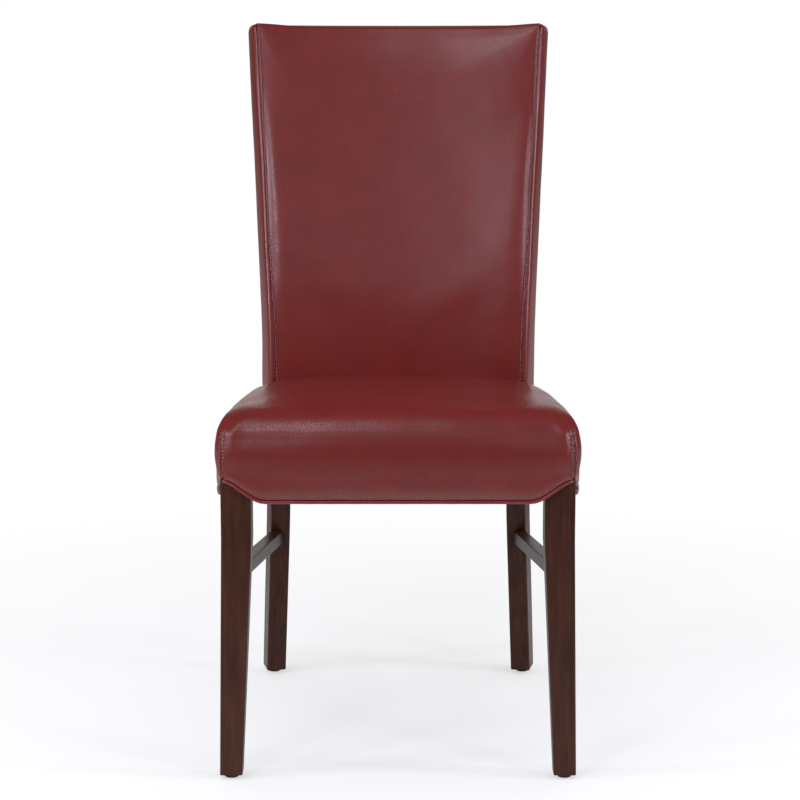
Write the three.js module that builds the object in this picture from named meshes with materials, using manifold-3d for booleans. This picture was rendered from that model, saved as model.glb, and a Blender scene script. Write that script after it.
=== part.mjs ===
// An upholstered parsons chair: a hardwood frame of two front legs, two raked rear posts, seat and back
// rails and side stretchers, dressed with webbing, foam, sewn covers and a corded lower edge.
// Millimetres, +Z up, the front of the chair faces -Y, left and right as seen from the front.
import * as THREE from 'three';
import { mergeVertices } from 'three/addons/utils/BufferGeometryUtils.js';
import Module from 'manifold-3d';

// Whole chair
const chairHeight = 1000;
const seatWidth = 476;
const postFront = 440;
const clearance = 0.3;
const overrun = 40;

// Front legs: square at the seat, tapered on their inner and rear faces, leaning out a little
const legSetback = 9;
const legWidth = 39.5;
const legFootWidth = 29.5;
const legDepth = 39.5;
const legFootDepth = 29.5;
const legTaperStart = 320;
const legSplay = 5.4;
const legEdgeRadius = 3;

// Rear posts: sawn from a board, turned in plan, upright at the seat and raked above and below it
const postSpacing = 382;
const postWidth = 29.5;
const postFootDepth = 38;
const postSeatDepth = 43;
const postTopDepth = 32;
const postTurn = 13;
const postEdge = 1.5;
const postTopInset = 16;
const backRakeStart = 470;
const backRakeAngle = 14.7;
const backRakeBlend = 150;
const legRakeStart = 345;
const legRakeAngle = 11.9;
const legRakeBlend = 120;

// Seat rails with their tenons
const railBottom = 379;
const railHeight = 66;
const railThickness = 21;
const seatRearWidth = 398;
const rearRailSetback = 9;
const rearTenonLength = 12;
const tenonThickness = 9;
const tenonLength = 16;
const tenonBottom = 403;
const tenonTop = 437;

// Back rails, bent to the curve of the back
const backRailInset = 3;
const backRailThickness = 20;
const backRailHeight = 52;
const backBottomRailLow = 482;
const backTopRailInset = 2;
const backTenonShoulder = 5;

// Side stretchers, which fall towards the rear
const stretcherWidth = 19;
const stretcherHeight = 18.5;
const stretcherFrontHeight = 274;
const stretcherRearHeight = 225;
const stretcherTenonWidth = 10;
const stretcherTenonHeight = 11;
const stretcherTenonLength = 15;
const stretcherEdgeRadius = 1.5;

// Corner blocks with a bolt and a washer each
const blockLeg = 80;
const blockHeight = 20;
const blockLift = 4;
const boltDiameter = 6;
const boltHeadDiameter = 11;
const boltHeadHeight = 4;
const boltGrip = 20;
const washerDiameter = 16;
const washerThickness = 1.5;

// Webbing under the seat and in the back
const strapWidth = 50;
const strapThickness = 1.6;
const strapWeave = 1;
const strapEndInset = 4;
const strapPitch = 110;
const strapsMiddle = 235;
const backStrapPitch = 105;

// Seat padding and cover
const coverThickness = 1.5;
const seatTop = 495;
const seatFall = 11;
const seatLowerEdge = 377;
const seatCornerRadius = 22;
const seatWidestHeight = 432;
const seatTuckIn = 5;
const seatRoll = 28;
const seatRollDrop = 9.5;
const seatTailEnd = 487;
const skirtBottom = 404;
const seatRimRadius = 7;
const notchRise = 27;
const notchReach = 58;

// Corded edge along the bottom of the seat cover
const weltDiameter = 4.4;
const weltGap = 0.6;

// Back padding, cover and rear panel
const backTuck = 455;
const backPadThickness = 20.5;
const backSidePad = 4.2;
const backCornerRadius = 13;
const backRoll = 11;
const rearPanelThickness = 3;
const rearPanelGap = 1.3;
const rearCoverBottom = 377;

// Dust cover and foot glides
const dustCoverThickness = 0.8;
const dustCoverInset = 6;
const glideHeight = 5;
const glideDiameter = 21;
const glideRim = 1.6;
const glidePinDiameter = 4;
const glidePinLength = 14;

// Shares that shape the outlines, and the counts of their steps
const cornerEaseShare = 0.35;
const cornerRoomShare = 0.8;
const seatProfileShares = [[1, 0], [0.3, 0.52], [0, 1]];
const seatRollShares = [[0.04, 0.34], [0.22, 0.72], [0.5, 0.9], [1, 1]];
const crownShares = [[0.26, 0.55], [0.5, 0.86], [0.74, 1]];
const backRollShares = [[0, 0.3], [0.14, 0.62], [0.46, 0.88], [1, 0.985]];
const backCrownShares = [[0.3, 1], [0.6, 1], [0.88, 1]];
const cornerSteps = 4;
const roundSteps = 12;
const curveSteps = 8;
const weltSides = 6;
const weltFrontSteps = 48;
const weltSideSteps = 66;
const weltSparing = 3;

// Sizes that follow from the ones above
const postTop = chairHeight - postTopInset;
const backTopRailLow = postTop - backRailHeight - backTopRailInset;
const backMiddleRailLow = (backBottomRailLow + backTopRailLow) / 2;
const legFace = seatWidth / 2 - legSetback;
const legRear = legSetback + legDepth;
const legInner = legFace - legWidth;
const railTop = railBottom + railHeight;
const footTop = glideHeight + clearance;
const turn = THREE.MathUtils.degToRad(postTurn);
const postCorner = postSpacing / 2;
const strapLevel = railTop + clearance + strapThickness / 2;
const webbingTop = strapLevel + strapWeave + strapThickness / 2 + clearance;
const blockBottom = railBottom + blockLift;
const boltLevel = blockBottom + blockHeight / 2;
const rearRailFront = postFront + rearRailSetback;

// Solids and booleans

const wasm = await Module();
wasm.setup();

function toSolid(geometry) {
  const plain = geometry.clone();
  plain.deleteAttribute('normal');
  plain.deleteAttribute('uv');
  const merged = mergeVertices(plain);
  const vertProperties = new Float32Array(merged.attributes.position.array);
  const triVerts = new Uint32Array(merged.index.array);
  return new wasm.Manifold(new wasm.Mesh({ numProp: 3, vertProperties, triVerts }));
}

function toGeometry(solid) {
  const mesh = solid.getMesh();
  const geometry = new THREE.BufferGeometry();
  geometry.setAttribute('position', new THREE.BufferAttribute(mesh.vertProperties, 3));
  geometry.setIndex(new THREE.BufferAttribute(mesh.triVerts, 1));
  return geometry;
}

function carve(geometry, cutters) {
  let solid = toSolid(geometry);
  for (const cutter of cutters) {
    solid = solid.subtract(toSolid(cutter));
  }
  return toGeometry(solid);
}

function fuse(geometries) {
  let solid = toSolid(geometries[0]);
  for (const geometry of geometries.slice(1)) {
    solid = solid.add(toSolid(geometry));
  }
  return toGeometry(solid);
}

// The same piece on the other side of the chair's middle plane.
function mirrored(geometry) {
  const other = geometry.clone().applyMatrix4(new THREE.Matrix4().makeScale(-1, 1, 1));
  return facingOut(other.index ? other : mergeVertices(other));
}

function facingOut(geometry) {
  const place = geometry.attributes.position;
  const order = geometry.index.array;
  const corners = [new THREE.Vector3(), new THREE.Vector3(), new THREE.Vector3()];
  let volume = 0;
  for (let i = 0; i < order.length; i += 3) {
    corners.forEach((corner, k) => corner.fromBufferAttribute(place, order[i + k]));
    volume += corners[0].dot(corners[1].clone().cross(corners[2]));
  }
  if (volume < 0) {
    for (let i = 0; i < order.length; i += 3) {
      [order[i], order[i + 1]] = [order[i + 1], order[i]];
    }
  }
  return geometry;
}

// Joins closed rings of points into one body, each quad split along its shorter diagonal, so that
// nested bodies are split alike. Point k of a ring faces point n - 1 - k across it, so each end is
// closed by a ladder of quads between its two halves.
function loft(rings) {
  const count = rings[0].length;
  const places = rings.flat();
  const points = places.flatMap((p) => [p.x, p.y, p.z]);
  const order = [];
  for (let r = 0; r + 1 < rings.length; r += 1) {
    for (let k = 0; k < count; k += 1) {
      const a = r * count + k;
      const b = r * count + (k + 1) % count;
      const rising = places[a].distanceTo(places[b + count]);
      const falling = places[b].distanceTo(places[a + count]);
      if (rising < falling) {
        order.push(a, b, b + count, a, b + count, a + count);
      } else {
        order.push(a, b, a + count, b, b + count, a + count);
      }
    }
  }
  const last = (rings.length - 1) * count;
  for (let k = 0; k + 1 < count / 2; k += 1) {
    const across = count - 1 - k;
    order.push(k, across, across - 1, k, across - 1, k + 1);
    order.push(last + k, last + across - 1, last + across, last + k, last + k + 1, last + across - 1);
  }
  const geometry = new THREE.BufferGeometry();
  geometry.setAttribute('position', new THREE.Float32BufferAttribute(points, 3));
  geometry.setIndex(order);
  return facingOut(geometry);
}

function box(low, high) {
  const size = new THREE.Vector3().subVectors(high, low);
  const middle = new THREE.Vector3().addVectors(low, high).multiplyScalar(1 / 2);
  return new THREE.BoxGeometry(size.x, size.y, size.z).translate(middle.x, middle.y, middle.z);
}

function point(x, y, z) {
  return new THREE.Vector3(x, y, z);
}

function spread(from, to, steps) {
  return Array.from({ length: steps + 1 }, (_, k) => from + ((to - from) * k) / steps);
}

// Right half of a rounded outline, from the middle of its near end to the middle of its far end.
// Its inset makes the outline smaller all round, with easier corners as far as its width allows.
function halfOutline({ halfAt, near, farAt, radius, endSteps, sideSteps }, inset) {
  const room = Math.min(halfAt(near), halfAt(farAt(0))) - inset;
  const bend = Math.min(radius + inset * cornerEaseShare, room * cornerRoomShare);
  const low = near + inset + bend;
  const lowMiddle = halfAt(low) - inset - bend;
  const high = farAt(halfAt(low)) - inset - bend;
  const highMiddle = halfAt(high) - inset - bend;
  const angles = spread(0, Math.PI / 2, cornerSteps);
  const endShares = Array.from({ length: endSteps }, (_, k) => (k + 1 / 2) / endSteps);
  const nearEnd = endShares.map((share) => [lowMiddle * share, near + inset]);
  const nearCorner = angles.map((t) => [lowMiddle + bend * Math.sin(t), low - bend * Math.cos(t)]);
  const side = spread(low, high, sideSteps + 1).slice(1, -1).map((v) => [halfAt(v) - inset, v]);
  const farCorner = angles.map((t) => [highMiddle + bend * Math.cos(t), high + bend * Math.sin(t)]);
  const farEnd = endShares.toReversed().map((share) => {
    const u = highMiddle * share;
    return [u, farAt(u) - inset];
  });
  return [...nearEnd, ...nearCorner, ...side, ...farCorner, ...farEnd];
}

function outline(shape, inset) {
  const half = halfOutline(shape, inset);
  const other = half.toReversed().map(([u, v]) => [-u, v]);
  return [...half, ...other];
}

// Moves a profile of (inset, height) pairs towards the inside of the body by a distance.
function thinner(profile, distance) {
  return profile.map(([inset, height], k) => {
    const before = profile[Math.max(k - 1, 0)];
    const after = profile[Math.min(k + 1, profile.length - 1)];
    const along = new THREE.Vector2(after[0] - before[0], after[1] - before[1]).normalize();
    return [inset + along.y * distance, height - along.x * distance];
  });
}

// Front legs

// The faces of a front leg at a height, measured from the middle of the chair and from its front.
function legSides(z) {
  const fall = Math.max(0, legTaperStart - z) / (legTaperStart - footTop);
  const outer = legFace + legSplay * fall;
  const inner = legInner + (legSplay + legWidth - legFootWidth) * fall;
  const rear = legRear - (legDepth - legFootDepth) * fall;
  return { outer, inner, rear };
}

function legSection(z, grow) {
  const { outer, inner, rear } = legSides(z);
  const shape = {
    halfAt: () => (outer - inner) / 2 + grow,
    near: legSetback - grow,
    farAt: () => rear + grow,
    radius: legEdgeRadius,
    endSteps: 1,
    sideSteps: 1,
  };
  return outline(shape, 0).map(([u, v]) => point(u - (outer + inner) / 2, v, z));
}

function legBlank(grow) {
  return loft([footTop - grow, legTaperStart, railTop + grow].map((z) => legSection(z, grow)));
}

function frontLeg() {
  return carve(legBlank(0), [
    frontRailTenons(clearance),
    sideRailTenons(clearance),
    stretcherTenons(clearance),
    boltBlank(frontBoltPlace(), clearance),
    glide(legFootPlace(), clearance),
  ]);
}

function legFootPlace() {
  const middle = (legFace + legInner) / 2 + legSplay + (legWidth - legFootWidth) / 2;
  return point(-middle, legSetback + legFootDepth / 2, 0);
}

// Rear posts

function blendedSlope(distance, angle, blend) {
  const slope = Math.tan(THREE.MathUtils.degToRad(angle));
  if (distance <= 0) {
    return 0;
  }
  return distance < blend ? (slope * distance * distance) / (2 * blend) : slope * (distance - blend / 2);
}

// How far back the front face of a post stands at a height.
function rake(z) {
  const above = blendedSlope(z - backRakeStart, backRakeAngle, backRakeBlend);
  const below = blendedSlope(legRakeStart - z, legRakeAngle, legRakeBlend);
  return above + below;
}

function postDepth(z) {
  const above = THREE.MathUtils.clamp((z - backRakeStart) / (postTop - backRakeStart), 0, 1);
  const below = THREE.MathUtils.clamp((legRakeStart - z) / legRakeStart, 0, 1);
  return postSeatDepth + (postTopDepth - postSeatDepth) * above + (postFootDepth - postSeatDepth) * below;
}

// A place on or in a left post: inward along its front face, back from it, and up.
function postPlace(inward, back, z) {
  const x = -postCorner + inward * Math.cos(turn) - back * Math.sin(turn);
  const y = postFront + inward * Math.sin(turn) + back * Math.cos(turn);
  return point(x, y, z);
}

function postStations(low, high) {
  const foot = spread(low, legRakeStart - legRakeBlend, 2);
  const knee = spread(legRakeStart - legRakeBlend, legRakeStart, 4).slice(1);
  const bend = spread(backRakeStart, backRakeStart + backRakeBlend, 5);
  const top = spread(backRakeStart + backRakeBlend, high, 2).slice(1);
  return [...foot, ...knee, ...bend, ...top];
}

function postBlank(grow) {
  const stations = postStations(footTop - grow, postTop + grow);
  const face = stations.map((z) => new THREE.Vector2(rake(z) - grow, z));
  const rear = stations.toReversed().map((z) => new THREE.Vector2(rake(z) + postDepth(z) + grow, z));
  const edge = grow > 0 ? 0 : postEdge;
  const geometry = new THREE.ExtrudeGeometry(new THREE.Shape([...face, ...rear]), {
    depth: postWidth + 2 * grow - 2 * edge,
    bevelEnabled: edge > 0,
    bevelThickness: edge,
    bevelSize: edge,
    bevelOffset: -edge,
    bevelSegments: 1,
  });
  const back = point(-Math.sin(turn), Math.cos(turn), 0);
  const inward = point(Math.cos(turn), Math.sin(turn), 0);
  const place = new THREE.Matrix4().makeBasis(back, point(0, 0, 1), inward);
  place.setPosition(postPlace(edge - grow, 0, 0));
  return geometry.applyMatrix4(place);
}

function rearPost() {
  const backTenons = backRailLows().map((low) => backRailTenon(low, clearance));
  return carve(postBlank(0), [
    ...backTenons,
    sideRailTenons(clearance),
    rearRailTenons(clearance),
    stretcherTenons(clearance),
    boltBlank(rearBoltPlace(), clearance),
    glide(postFootPlace(), clearance),
  ]);
}

function postFootPlace() {
  return postPlace(postWidth / 2, rake(footTop) + postDepth(footTop) / 2, 0);
}

function bothPosts(grow) {
  const left = postBlank(grow);
  return [left, mirrored(left)];
}

function bothLegs(grow) {
  const left = legBlank(grow);
  return [left, mirrored(left)];
}

// Seat rails

// Half width of the seat frame at a depth: parallel beside the legs, then bowed in to the posts.
function frameHalf(y) {
  const share = Math.max(0, y - legRear) / (postFront - legRear);
  return legFace - (legFace - seatRearWidth / 2) * share * share;
}

// A slab that follows the bow of the side of the seat.
function bowedSlab(outset, thickness, front, rear, low, high) {
  const bow = spread(Math.max(front, legRear), rear, curveSteps);
  const depths = front < legRear ? [front, ...bow] : bow;
  const outer = depths.map((y) => new THREE.Vector2(-frameHalf(y) - outset, y));
  const inner = depths.toReversed().map((y) => new THREE.Vector2(-frameHalf(y) - outset + thickness, y));
  const shape = new THREE.Shape([...outer, ...inner]);
  const settings = { depth: high - low, bevelEnabled: false };
  return new THREE.ExtrudeGeometry(shape, settings).translate(0, 0, low);
}

function sideRailBlank() {
  return bowedSlab(0, railThickness, legRear + clearance, postFront + postSeatDepth, railBottom, railTop);
}

function sideRailTenons(grow) {
  const shoulder = (railThickness - tenonThickness) / 2;
  const front = legRear - tenonLength - grow;
  const rear = postFront + tenonLength + grow;
  const thickness = tenonThickness + 2 * grow;
  return bowedSlab(grow - shoulder, thickness, front, rear, tenonBottom - grow, tenonTop + grow);
}

// The room behind the middle of a post, and beside its outer face, where a side rail has no business.
function pastPost() {
  const rear = postFront + postSeatDepth;
  const behind = box(
    point(-seatWidth, postFront + postSeatDepth / 2, railBottom - overrun),
    point(seatWidth, rear + overrun, railTop + overrun),
  );
  const beside = box(
    point(-seatWidth, postFront, railBottom - overrun),
    point(-postCorner, rear + overrun, railTop + overrun),
  );
  return [behind, beside];
}

function sideRail() {
  const body = carve(sideRailBlank(), [postBlank(clearance), ...pastPost()]);
  return fuse([body, sideRailTenons(0)]);
}

function frontRailBlank() {
  const half = legInner - clearance;
  return box(point(-half, legSetback, railBottom), point(half, legSetback + railThickness, railTop));
}

function frontRailTenons(grow) {
  const half = legInner + tenonLength + grow;
  const shoulder = (railThickness - tenonThickness) / 2;
  return box(
    point(-half, legSetback + shoulder - grow, tenonBottom - grow),
    point(half, legSetback + railThickness - shoulder + grow, tenonTop + grow),
  );
}

function frontRail() {
  return fuse([frontRailBlank(), frontRailTenons(0)]);
}

function rearRailBlank() {
  const rear = rearRailFront + railThickness;
  return box(point(-postCorner, rearRailFront, railBottom), point(postCorner, rear, railTop));
}

function rearRailTenons(grow) {
  const shoulder = (railThickness - tenonThickness) / 2;
  const half = -postPlace(postWidth - rearTenonLength, postSeatDepth / 2, 0).x + grow;
  return box(
    point(-half, rearRailFront + shoulder - grow, tenonBottom - grow),
    point(half, rearRailFront + railThickness - shoulder + grow, tenonTop + grow),
  );
}

function rearRail() {
  const body = carve(rearRailBlank(), [...bothPosts(clearance), ...besidePosts()]);
  return fuse([body, rearRailTenons(0)]);
}

// The room outside the posts, where a rail between them has no business.
function besidePosts() {
  const inside = -postPlace(postWidth / 2, 0, 0).x;
  const left = box(
    point(-seatWidth, postFront, railBottom - overrun),
    point(-inside, postFront + postSeatDepth + overrun, railTop + overrun),
  );
  return [left, mirrored(left)];
}

// Back rails

function backRailLows() {
  return [backBottomRailLow, backMiddleRailLow, backTopRailLow];
}

// Radius of the curve of the posts' front faces at a height, which grows as the back leans and widens.
function backRadius(z) {
  return (postCorner + rake(z) * Math.sin(turn)) / Math.sin(turn);
}

// Distance round that curve from the middle of the back to the outside of a post.
function backReach(z) {
  return backRadius(z) * turn;
}

// A place on the back: round the curve from its middle, behind the posts' front faces, and up.
function backPlace(around, behind, z) {
  const radius = backRadius(z);
  const angle = around / radius;
  const edge = postFront + rake(z) * Math.cos(turn);
  const y = edge - radius * Math.cos(turn) + (radius + behind) * Math.cos(angle);
  return point((radius + behind) * Math.sin(angle), y, z);
}

// A slab bent to the back, through given heights, between two depths and two distances round the curve.
function backSlab({ heights, front, rear, from, to, aroundSteps }) {
  const rings = heights.map((z) => {
    const shares = spread(0, 1, aroundSteps);
    const across = shares.map((share) => from(z) + (to(z) - from(z)) * share);
    const face = across.map((around) => backPlace(around, front(z), z));
    const back = across.toReversed().map((around) => backPlace(around, rear(z), z));
    return [...face, ...back];
  });
  return loft(rings);
}

function backRailSlab(low, inset, endInset, grow) {
  const end = (z) => backReach(z) - endInset + grow;
  return backSlab({
    heights: spread(low + inset - grow, low + backRailHeight - inset + grow, 2),
    front: () => backRailInset + inset - grow,
    rear: () => backRailInset + backRailThickness - inset + grow,
    from: (z) => -end(z),
    to: end,
    aroundSteps: 2 * curveSteps,
  });
}

function backRailTenon(low, grow) {
  return backRailSlab(low, backTenonShoulder, postWidth - tenonLength, grow);
}

function backRail(low) {
  const body = backRailSlab(low, 0, postWidth / 2, 0);
  return fuse([carve(body, bothPosts(clearance)), backRailTenon(low, 0)]);
}

// Side stretchers

function stretcherEnds() {
  const { outer, inner } = legSides(stretcherFrontHeight);
  const front = point(-(outer + inner) / 2, legSetback + legFootDepth / 2, stretcherFrontHeight);
  const rearFace = rake(stretcherRearHeight);
  const rear = postPlace(postWidth / 2, rearFace + postDepth(stretcherRearHeight) / 2, stretcherRearHeight);
  return [front, rear];
}

function stretcherBar(width, height, radius, frontTrim, rearTrim) {
  const [front, rear] = stretcherEnds();
  const along = rear.clone().sub(front);
  const length = along.length() - frontTrim - rearTrim;
  const shape = {
    halfAt: () => width / 2,
    near: -height / 2,
    farAt: () => height / 2,
    radius,
    endSteps: 1,
    sideSteps: 1,
  };
  const section = outline(shape, 0);
  const side = point(0, 0, 1).cross(along).normalize();
  const up = along.clone().cross(side).normalize();
  const place = new THREE.Matrix4().makeBasis(side, up, along.normalize());
  place.setPosition(front.addScaledVector(along, frontTrim));
  return loft([0, length].map((w) => section.map(([u, v]) => point(u, v, w).applyMatrix4(place))));
}

function stretcherTenons(grow) {
  const [front] = stretcherEnds();
  const frontTrim = legSides(stretcherFrontHeight).rear - stretcherTenonLength - front.y - grow;
  const rearTrim = postDepth(stretcherRearHeight) / 2 - stretcherTenonLength - grow;
  const width = stretcherTenonWidth + 2 * grow;
  const height = stretcherTenonHeight + 2 * grow;
  return stretcherBar(width, height, stretcherEdgeRadius, frontTrim, rearTrim);
}

function sideStretcher() {
  const bar = stretcherBar(stretcherWidth, stretcherHeight, stretcherEdgeRadius, 0, 0);
  const body = carve(bar, [legBlank(clearance), postBlank(clearance)]);
  return fuse([body, stretcherTenons(0)]);
}

// Corner blocks, bolts and washers

function frontBlockCorner() {
  return point(-legFace + railThickness + clearance, legSetback + railThickness + clearance, 0);
}

function rearBlockCorner() {
  return point(-frameHalf(postFront) + railThickness + clearance, rearRailFront - clearance, 0);
}

function cornerBlock(corner, side) {
  const shape = new THREE.Shape([
    new THREE.Vector2(corner.x - overrun, corner.y),
    new THREE.Vector2(corner.x + blockLeg, corner.y),
    new THREE.Vector2(corner.x, corner.y + blockLeg * side),
    new THREE.Vector2(corner.x - overrun, corner.y + blockLeg * side),
  ]);
  const settings = { depth: blockHeight, bevelEnabled: false };
  return new THREE.ExtrudeGeometry(shape, settings).translate(0, 0, blockBottom);
}

// The room of a side rail and all that lies outside it.
function outsideRoom() {
  const outset = 2 * overrun;
  const thickness = outset + railThickness + clearance;
  const rear = postFront + postSeatDepth;
  return bowedSlab(outset, thickness, legSetback - overrun, rear, blockBottom - overrun, railTop);
}

function frontBlock() {
  const cutters = [outsideRoom(), legBlank(clearance), boltBlank(frontBoltPlace(), clearance)];
  return carve(cornerBlock(frontBlockCorner(), 1), cutters);
}

function rearBlock() {
  const cutters = [outsideRoom(), postBlank(clearance), boltBlank(rearBoltPlace(), clearance)];
  return carve(cornerBlock(rearBlockCorner(), -1), cutters);
}

// Where a bolt's head seats: the middle of the slanted face of its block, looking along the bolt.
function boltPlace(corner, side) {
  const half = blockLeg / 2;
  const inward = point(-1, -side, 0).normalize();
  const seat = point(corner.x + half, corner.y + half * side, boltLevel);
  return { seat, inward };
}

function frontBoltPlace() {
  const { seat, inward } = boltPlace(frontBlockCorner(), 1);
  const reach = seat.distanceTo(point(-legInner, legRear, boltLevel)) + boltGrip;
  return { seat, inward, reach };
}

function rearBoltPlace() {
  const { seat, inward } = boltPlace(rearBlockCorner(), -1);
  const corner = postPlace(postWidth / 2, 0, boltLevel);
  const reach = seat.distanceTo(corner) + boltGrip;
  return { seat, inward, reach };
}

function turned(profile, { seat, inward }) {
  const points = profile.map(([radius, along]) => new THREE.Vector2(radius, along));
  const geometry = new THREE.LatheGeometry(points, roundSteps);
  const rotation = new THREE.Quaternion().setFromUnitVectors(point(0, 1, 0), inward);
  geometry.applyQuaternion(rotation).translate(seat.x, seat.y, seat.z);
  return facingOut(mergeVertices(withoutShading(geometry)));
}

function withoutShading(geometry) {
  geometry.deleteAttribute('normal');
  geometry.deleteAttribute('uv');
  return geometry;
}

// A bolt's shank alone, as the hole that it needs.
function boltBlank(place, grow) {
  const radius = boltDiameter / 2 + grow;
  const tip = place.reach + grow;
  return turned([[0, -overrun], [radius, -overrun], [radius, tip], [0, tip]], place);
}

function bolt(place) {
  const under = -washerThickness - 2 * clearance;
  const head = boltHeadDiameter / 2;
  const shank = boltDiameter / 2;
  const top = under - boltHeadHeight;
  const ease = boltHeadHeight / 2;
  const tip = place.reach - shank;
  const profile = [[0, top], [head - ease, top], [head, top + ease], [head, under], [shank, under]];
  return turned([...profile, [shank, tip], [0, place.reach]], place);
}

function washer(place) {
  const outer = washerDiameter / 2;
  const inner = boltDiameter / 2 + clearance;
  const low = -clearance - washerThickness;
  const high = -clearance;
  return turned([[inner, low], [outer, low], [outer, high], [inner, high], [inner, low]], place);
}

// Webbing

// A strap in its own upright plane, rising and falling over the straps that cross it.
function wovenStrap(from, to, crossings, phase) {
  const flat = strapWidth / 2;
  const knots = [[from, 0]];
  crossings.forEach((place, k) => {
    const lift = strapWeave * ((k + phase) % 2 === 0 ? 1 : -1);
    knots.push([place - flat, lift], [place + flat, lift]);
  });
  knots.push([to, 0]);
  const top = knots.map(([u, lift]) => new THREE.Vector2(u, strapLevel + lift + strapThickness / 2));
  const under = knots.map(([u, lift]) => new THREE.Vector2(u, strapLevel + lift - strapThickness / 2));
  const shape = new THREE.Shape([...under, ...top.toReversed()]);
  const settings = { depth: strapWidth, bevelEnabled: false };
  return new THREE.ExtrudeGeometry(shape, settings).translate(0, 0, -strapWidth / 2);
}

const strapOrders = [-1, 0, 1];

function lengthStrap(order) {
  const crossings = strapOrders.map((k) => strapsMiddle + k * strapPitch);
  const rear = rearRailFront + railThickness - strapEndInset;
  const strap = wovenStrap(legSetback + strapEndInset, rear, crossings, order + 1);
  const place = new THREE.Matrix4().makeBasis(point(0, 1, 0), point(0, 0, 1), point(1, 0, 0));
  place.setPosition(order * strapPitch, 0, 0);
  return strap.applyMatrix4(place);
}

function crossStrap(order) {
  const y = strapsMiddle + order * strapPitch;
  const reach = frameHalf(y + strapWidth / 2) - strapEndInset;
  const crossings = strapOrders.map((k) => k * strapPitch);
  const strap = wovenStrap(-reach, reach, crossings, order);
  const place = new THREE.Matrix4().makeBasis(point(1, 0, 0), point(0, 0, 1), point(0, -1, 0));
  place.setPosition(0, y, 0);
  return strap.applyMatrix4(place);
}

// A strap of the back is pulled straight from rail to rail.
function backStrap(order) {
  const middle = order * backStrapPitch;
  const rear = backRailInset - clearance;
  const onRails = backRailLows().flatMap((low) => spread(low, low + backRailHeight, 2));
  const heights = onRails.slice(1, -1);
  return backSlab({
    heights: [onRails[0] + strapEndInset, ...heights, onRails.at(-1) - strapEndInset],
    front: () => rear - strapThickness,
    rear: () => rear,
    from: () => middle - strapWidth / 2,
    to: () => middle + strapWidth / 2,
    aroundSteps: 2,
  });
}

// Seat padding and cover

// The seat's outline in plan runs on behind the posts, where its rear end is cut off.
const seatShape = {
  halfAt: (y) => frameHalf(Math.min(y, postFront)) + legSetback,
  near: 0,
  farAt: () => seatTailEnd + overrun,
  radius: seatCornerRadius,
  endSteps: 3,
  sideSteps: 9,
};

// The upholstered seat's profile: inset from its widest outline, and height at the front.
function seatProfile() {
  const rollTop = seatTop - seatRollDrop;
  const lower = seatProfileShares.map(([tuck, up]) => {
    return [seatTuckIn * tuck, seatLowerEdge + (seatWidestHeight - seatLowerEdge) * up];
  });
  const roll = seatRollShares.map(([inward, up]) => {
    return [seatRoll * inward, seatWidestHeight + (rollTop - seatWidestHeight) * up];
  });
  const crown = crownShares.map(([inward, up]) => {
    return [(seatWidth / 2) * inward, rollTop + seatRollDrop * up];
  });
  return [...lower, ...roll, ...crown];
}

// How far the lower edge lifts over a front leg, at a distance from the leg's outer corner.
function notchLift(distance) {
  return notchRise * THREE.MathUtils.smoothstep(notchReach - distance, 0, notchReach);
}

function seatRing(inset, height) {
  const fallShare = (height - seatLowerEdge) / (seatTop - seatLowerEdge);
  const lowerHeight = seatWidestHeight - seatLowerEdge;
  const roundShare = THREE.MathUtils.clamp((height - seatLowerEdge) / lowerHeight, 0, 1);
  const radius = seatRimRadius + (seatCornerRadius - seatRimRadius) * roundShare;
  return outline({ ...seatShape, radius }, inset).map(([x, y]) => {
    const fall = seatFall * Math.max(0, fallShare) * (y / postFront);
    return point(x, y, height - fall);
  });
}

function seatBody(profile) {
  return loft(profile.map(([inset, height]) => seatRing(inset, height)));
}

function behindSeat(from) {
  return box(
    point(-seatWidth, from, railBottom - overrun),
    point(seatWidth, seatTailEnd + 2 * overrun, seatTop + overrun),
  );
}

// What is cut from the lower edge of the cover at the left front leg: once through the front, once
// through the side.
function notchCutters() {
  const distances = spread(0, notchReach, roundSteps);
  const low = seatLowerEdge - overrun;
  const edge = distances.map((d) => new THREE.Vector2(d, seatLowerEdge + notchLift(d)));
  const peak = new THREE.Vector2(-overrun, seatLowerEdge + notchRise);
  const shape = new THREE.Shape([new THREE.Vector2(-overrun, low), new THREE.Vector2(notchReach, low),
    ...edge.toReversed(), peak]);
  const settings = { depth: overrun, bevelEnabled: false };
  const front = new THREE.ExtrudeGeometry(shape, settings);
  const frontPlace = new THREE.Matrix4().makeBasis(point(1, 0, 0), point(0, 0, 1), point(0, -1, 0));
  frontPlace.setPosition(-legFace, legRear - overrun / 2, 0);
  const sidePlace = new THREE.Matrix4().makeBasis(point(0, 1, 0), point(0, 0, 1), point(1, 0, 0));
  sidePlace.setPosition(-legFace - overrun / 2, legSetback, 0);
  return [front.clone().applyMatrix4(frontPlace), front.applyMatrix4(sidePlace)];
}

function seatCover() {
  const inside = thinner(seatProfile(), coverThickness);
  const cavity = [[inside[0][0], seatLowerEdge - overrun], ...inside];
  const notches = notchCutters();
  const cutters = [seatBody(cavity), tuckedBack(-clearance, overrun), behindSeat(seatTailEnd)];
  return carve(seatBody(seatProfile()), [...cutters, ...notches, ...notches.map(mirrored)]);
}

function insetAt(profile, height) {
  const k = profile.findIndex((place) => place[1] > height);
  const [lower, upper] = [profile[k - 1], profile[k]];
  return lower[0] + ((upper[0] - lower[0]) * (height - lower[1])) / (upper[1] - lower[1]);
}

function seatFoam() {
  const inside = thinner(seatProfile(), coverThickness + clearance);
  const upper = inside.filter(([, height]) => height > skirtBottom);
  const start = [insetAt(inside, skirtBottom), skirtBottom];
  const cutters = [frameRoom(), tuckedBack(-2 * clearance, overrun), behindSeat(postFront - clearance)];
  return carve(seatBody([start, ...upper]), cutters);
}

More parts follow.
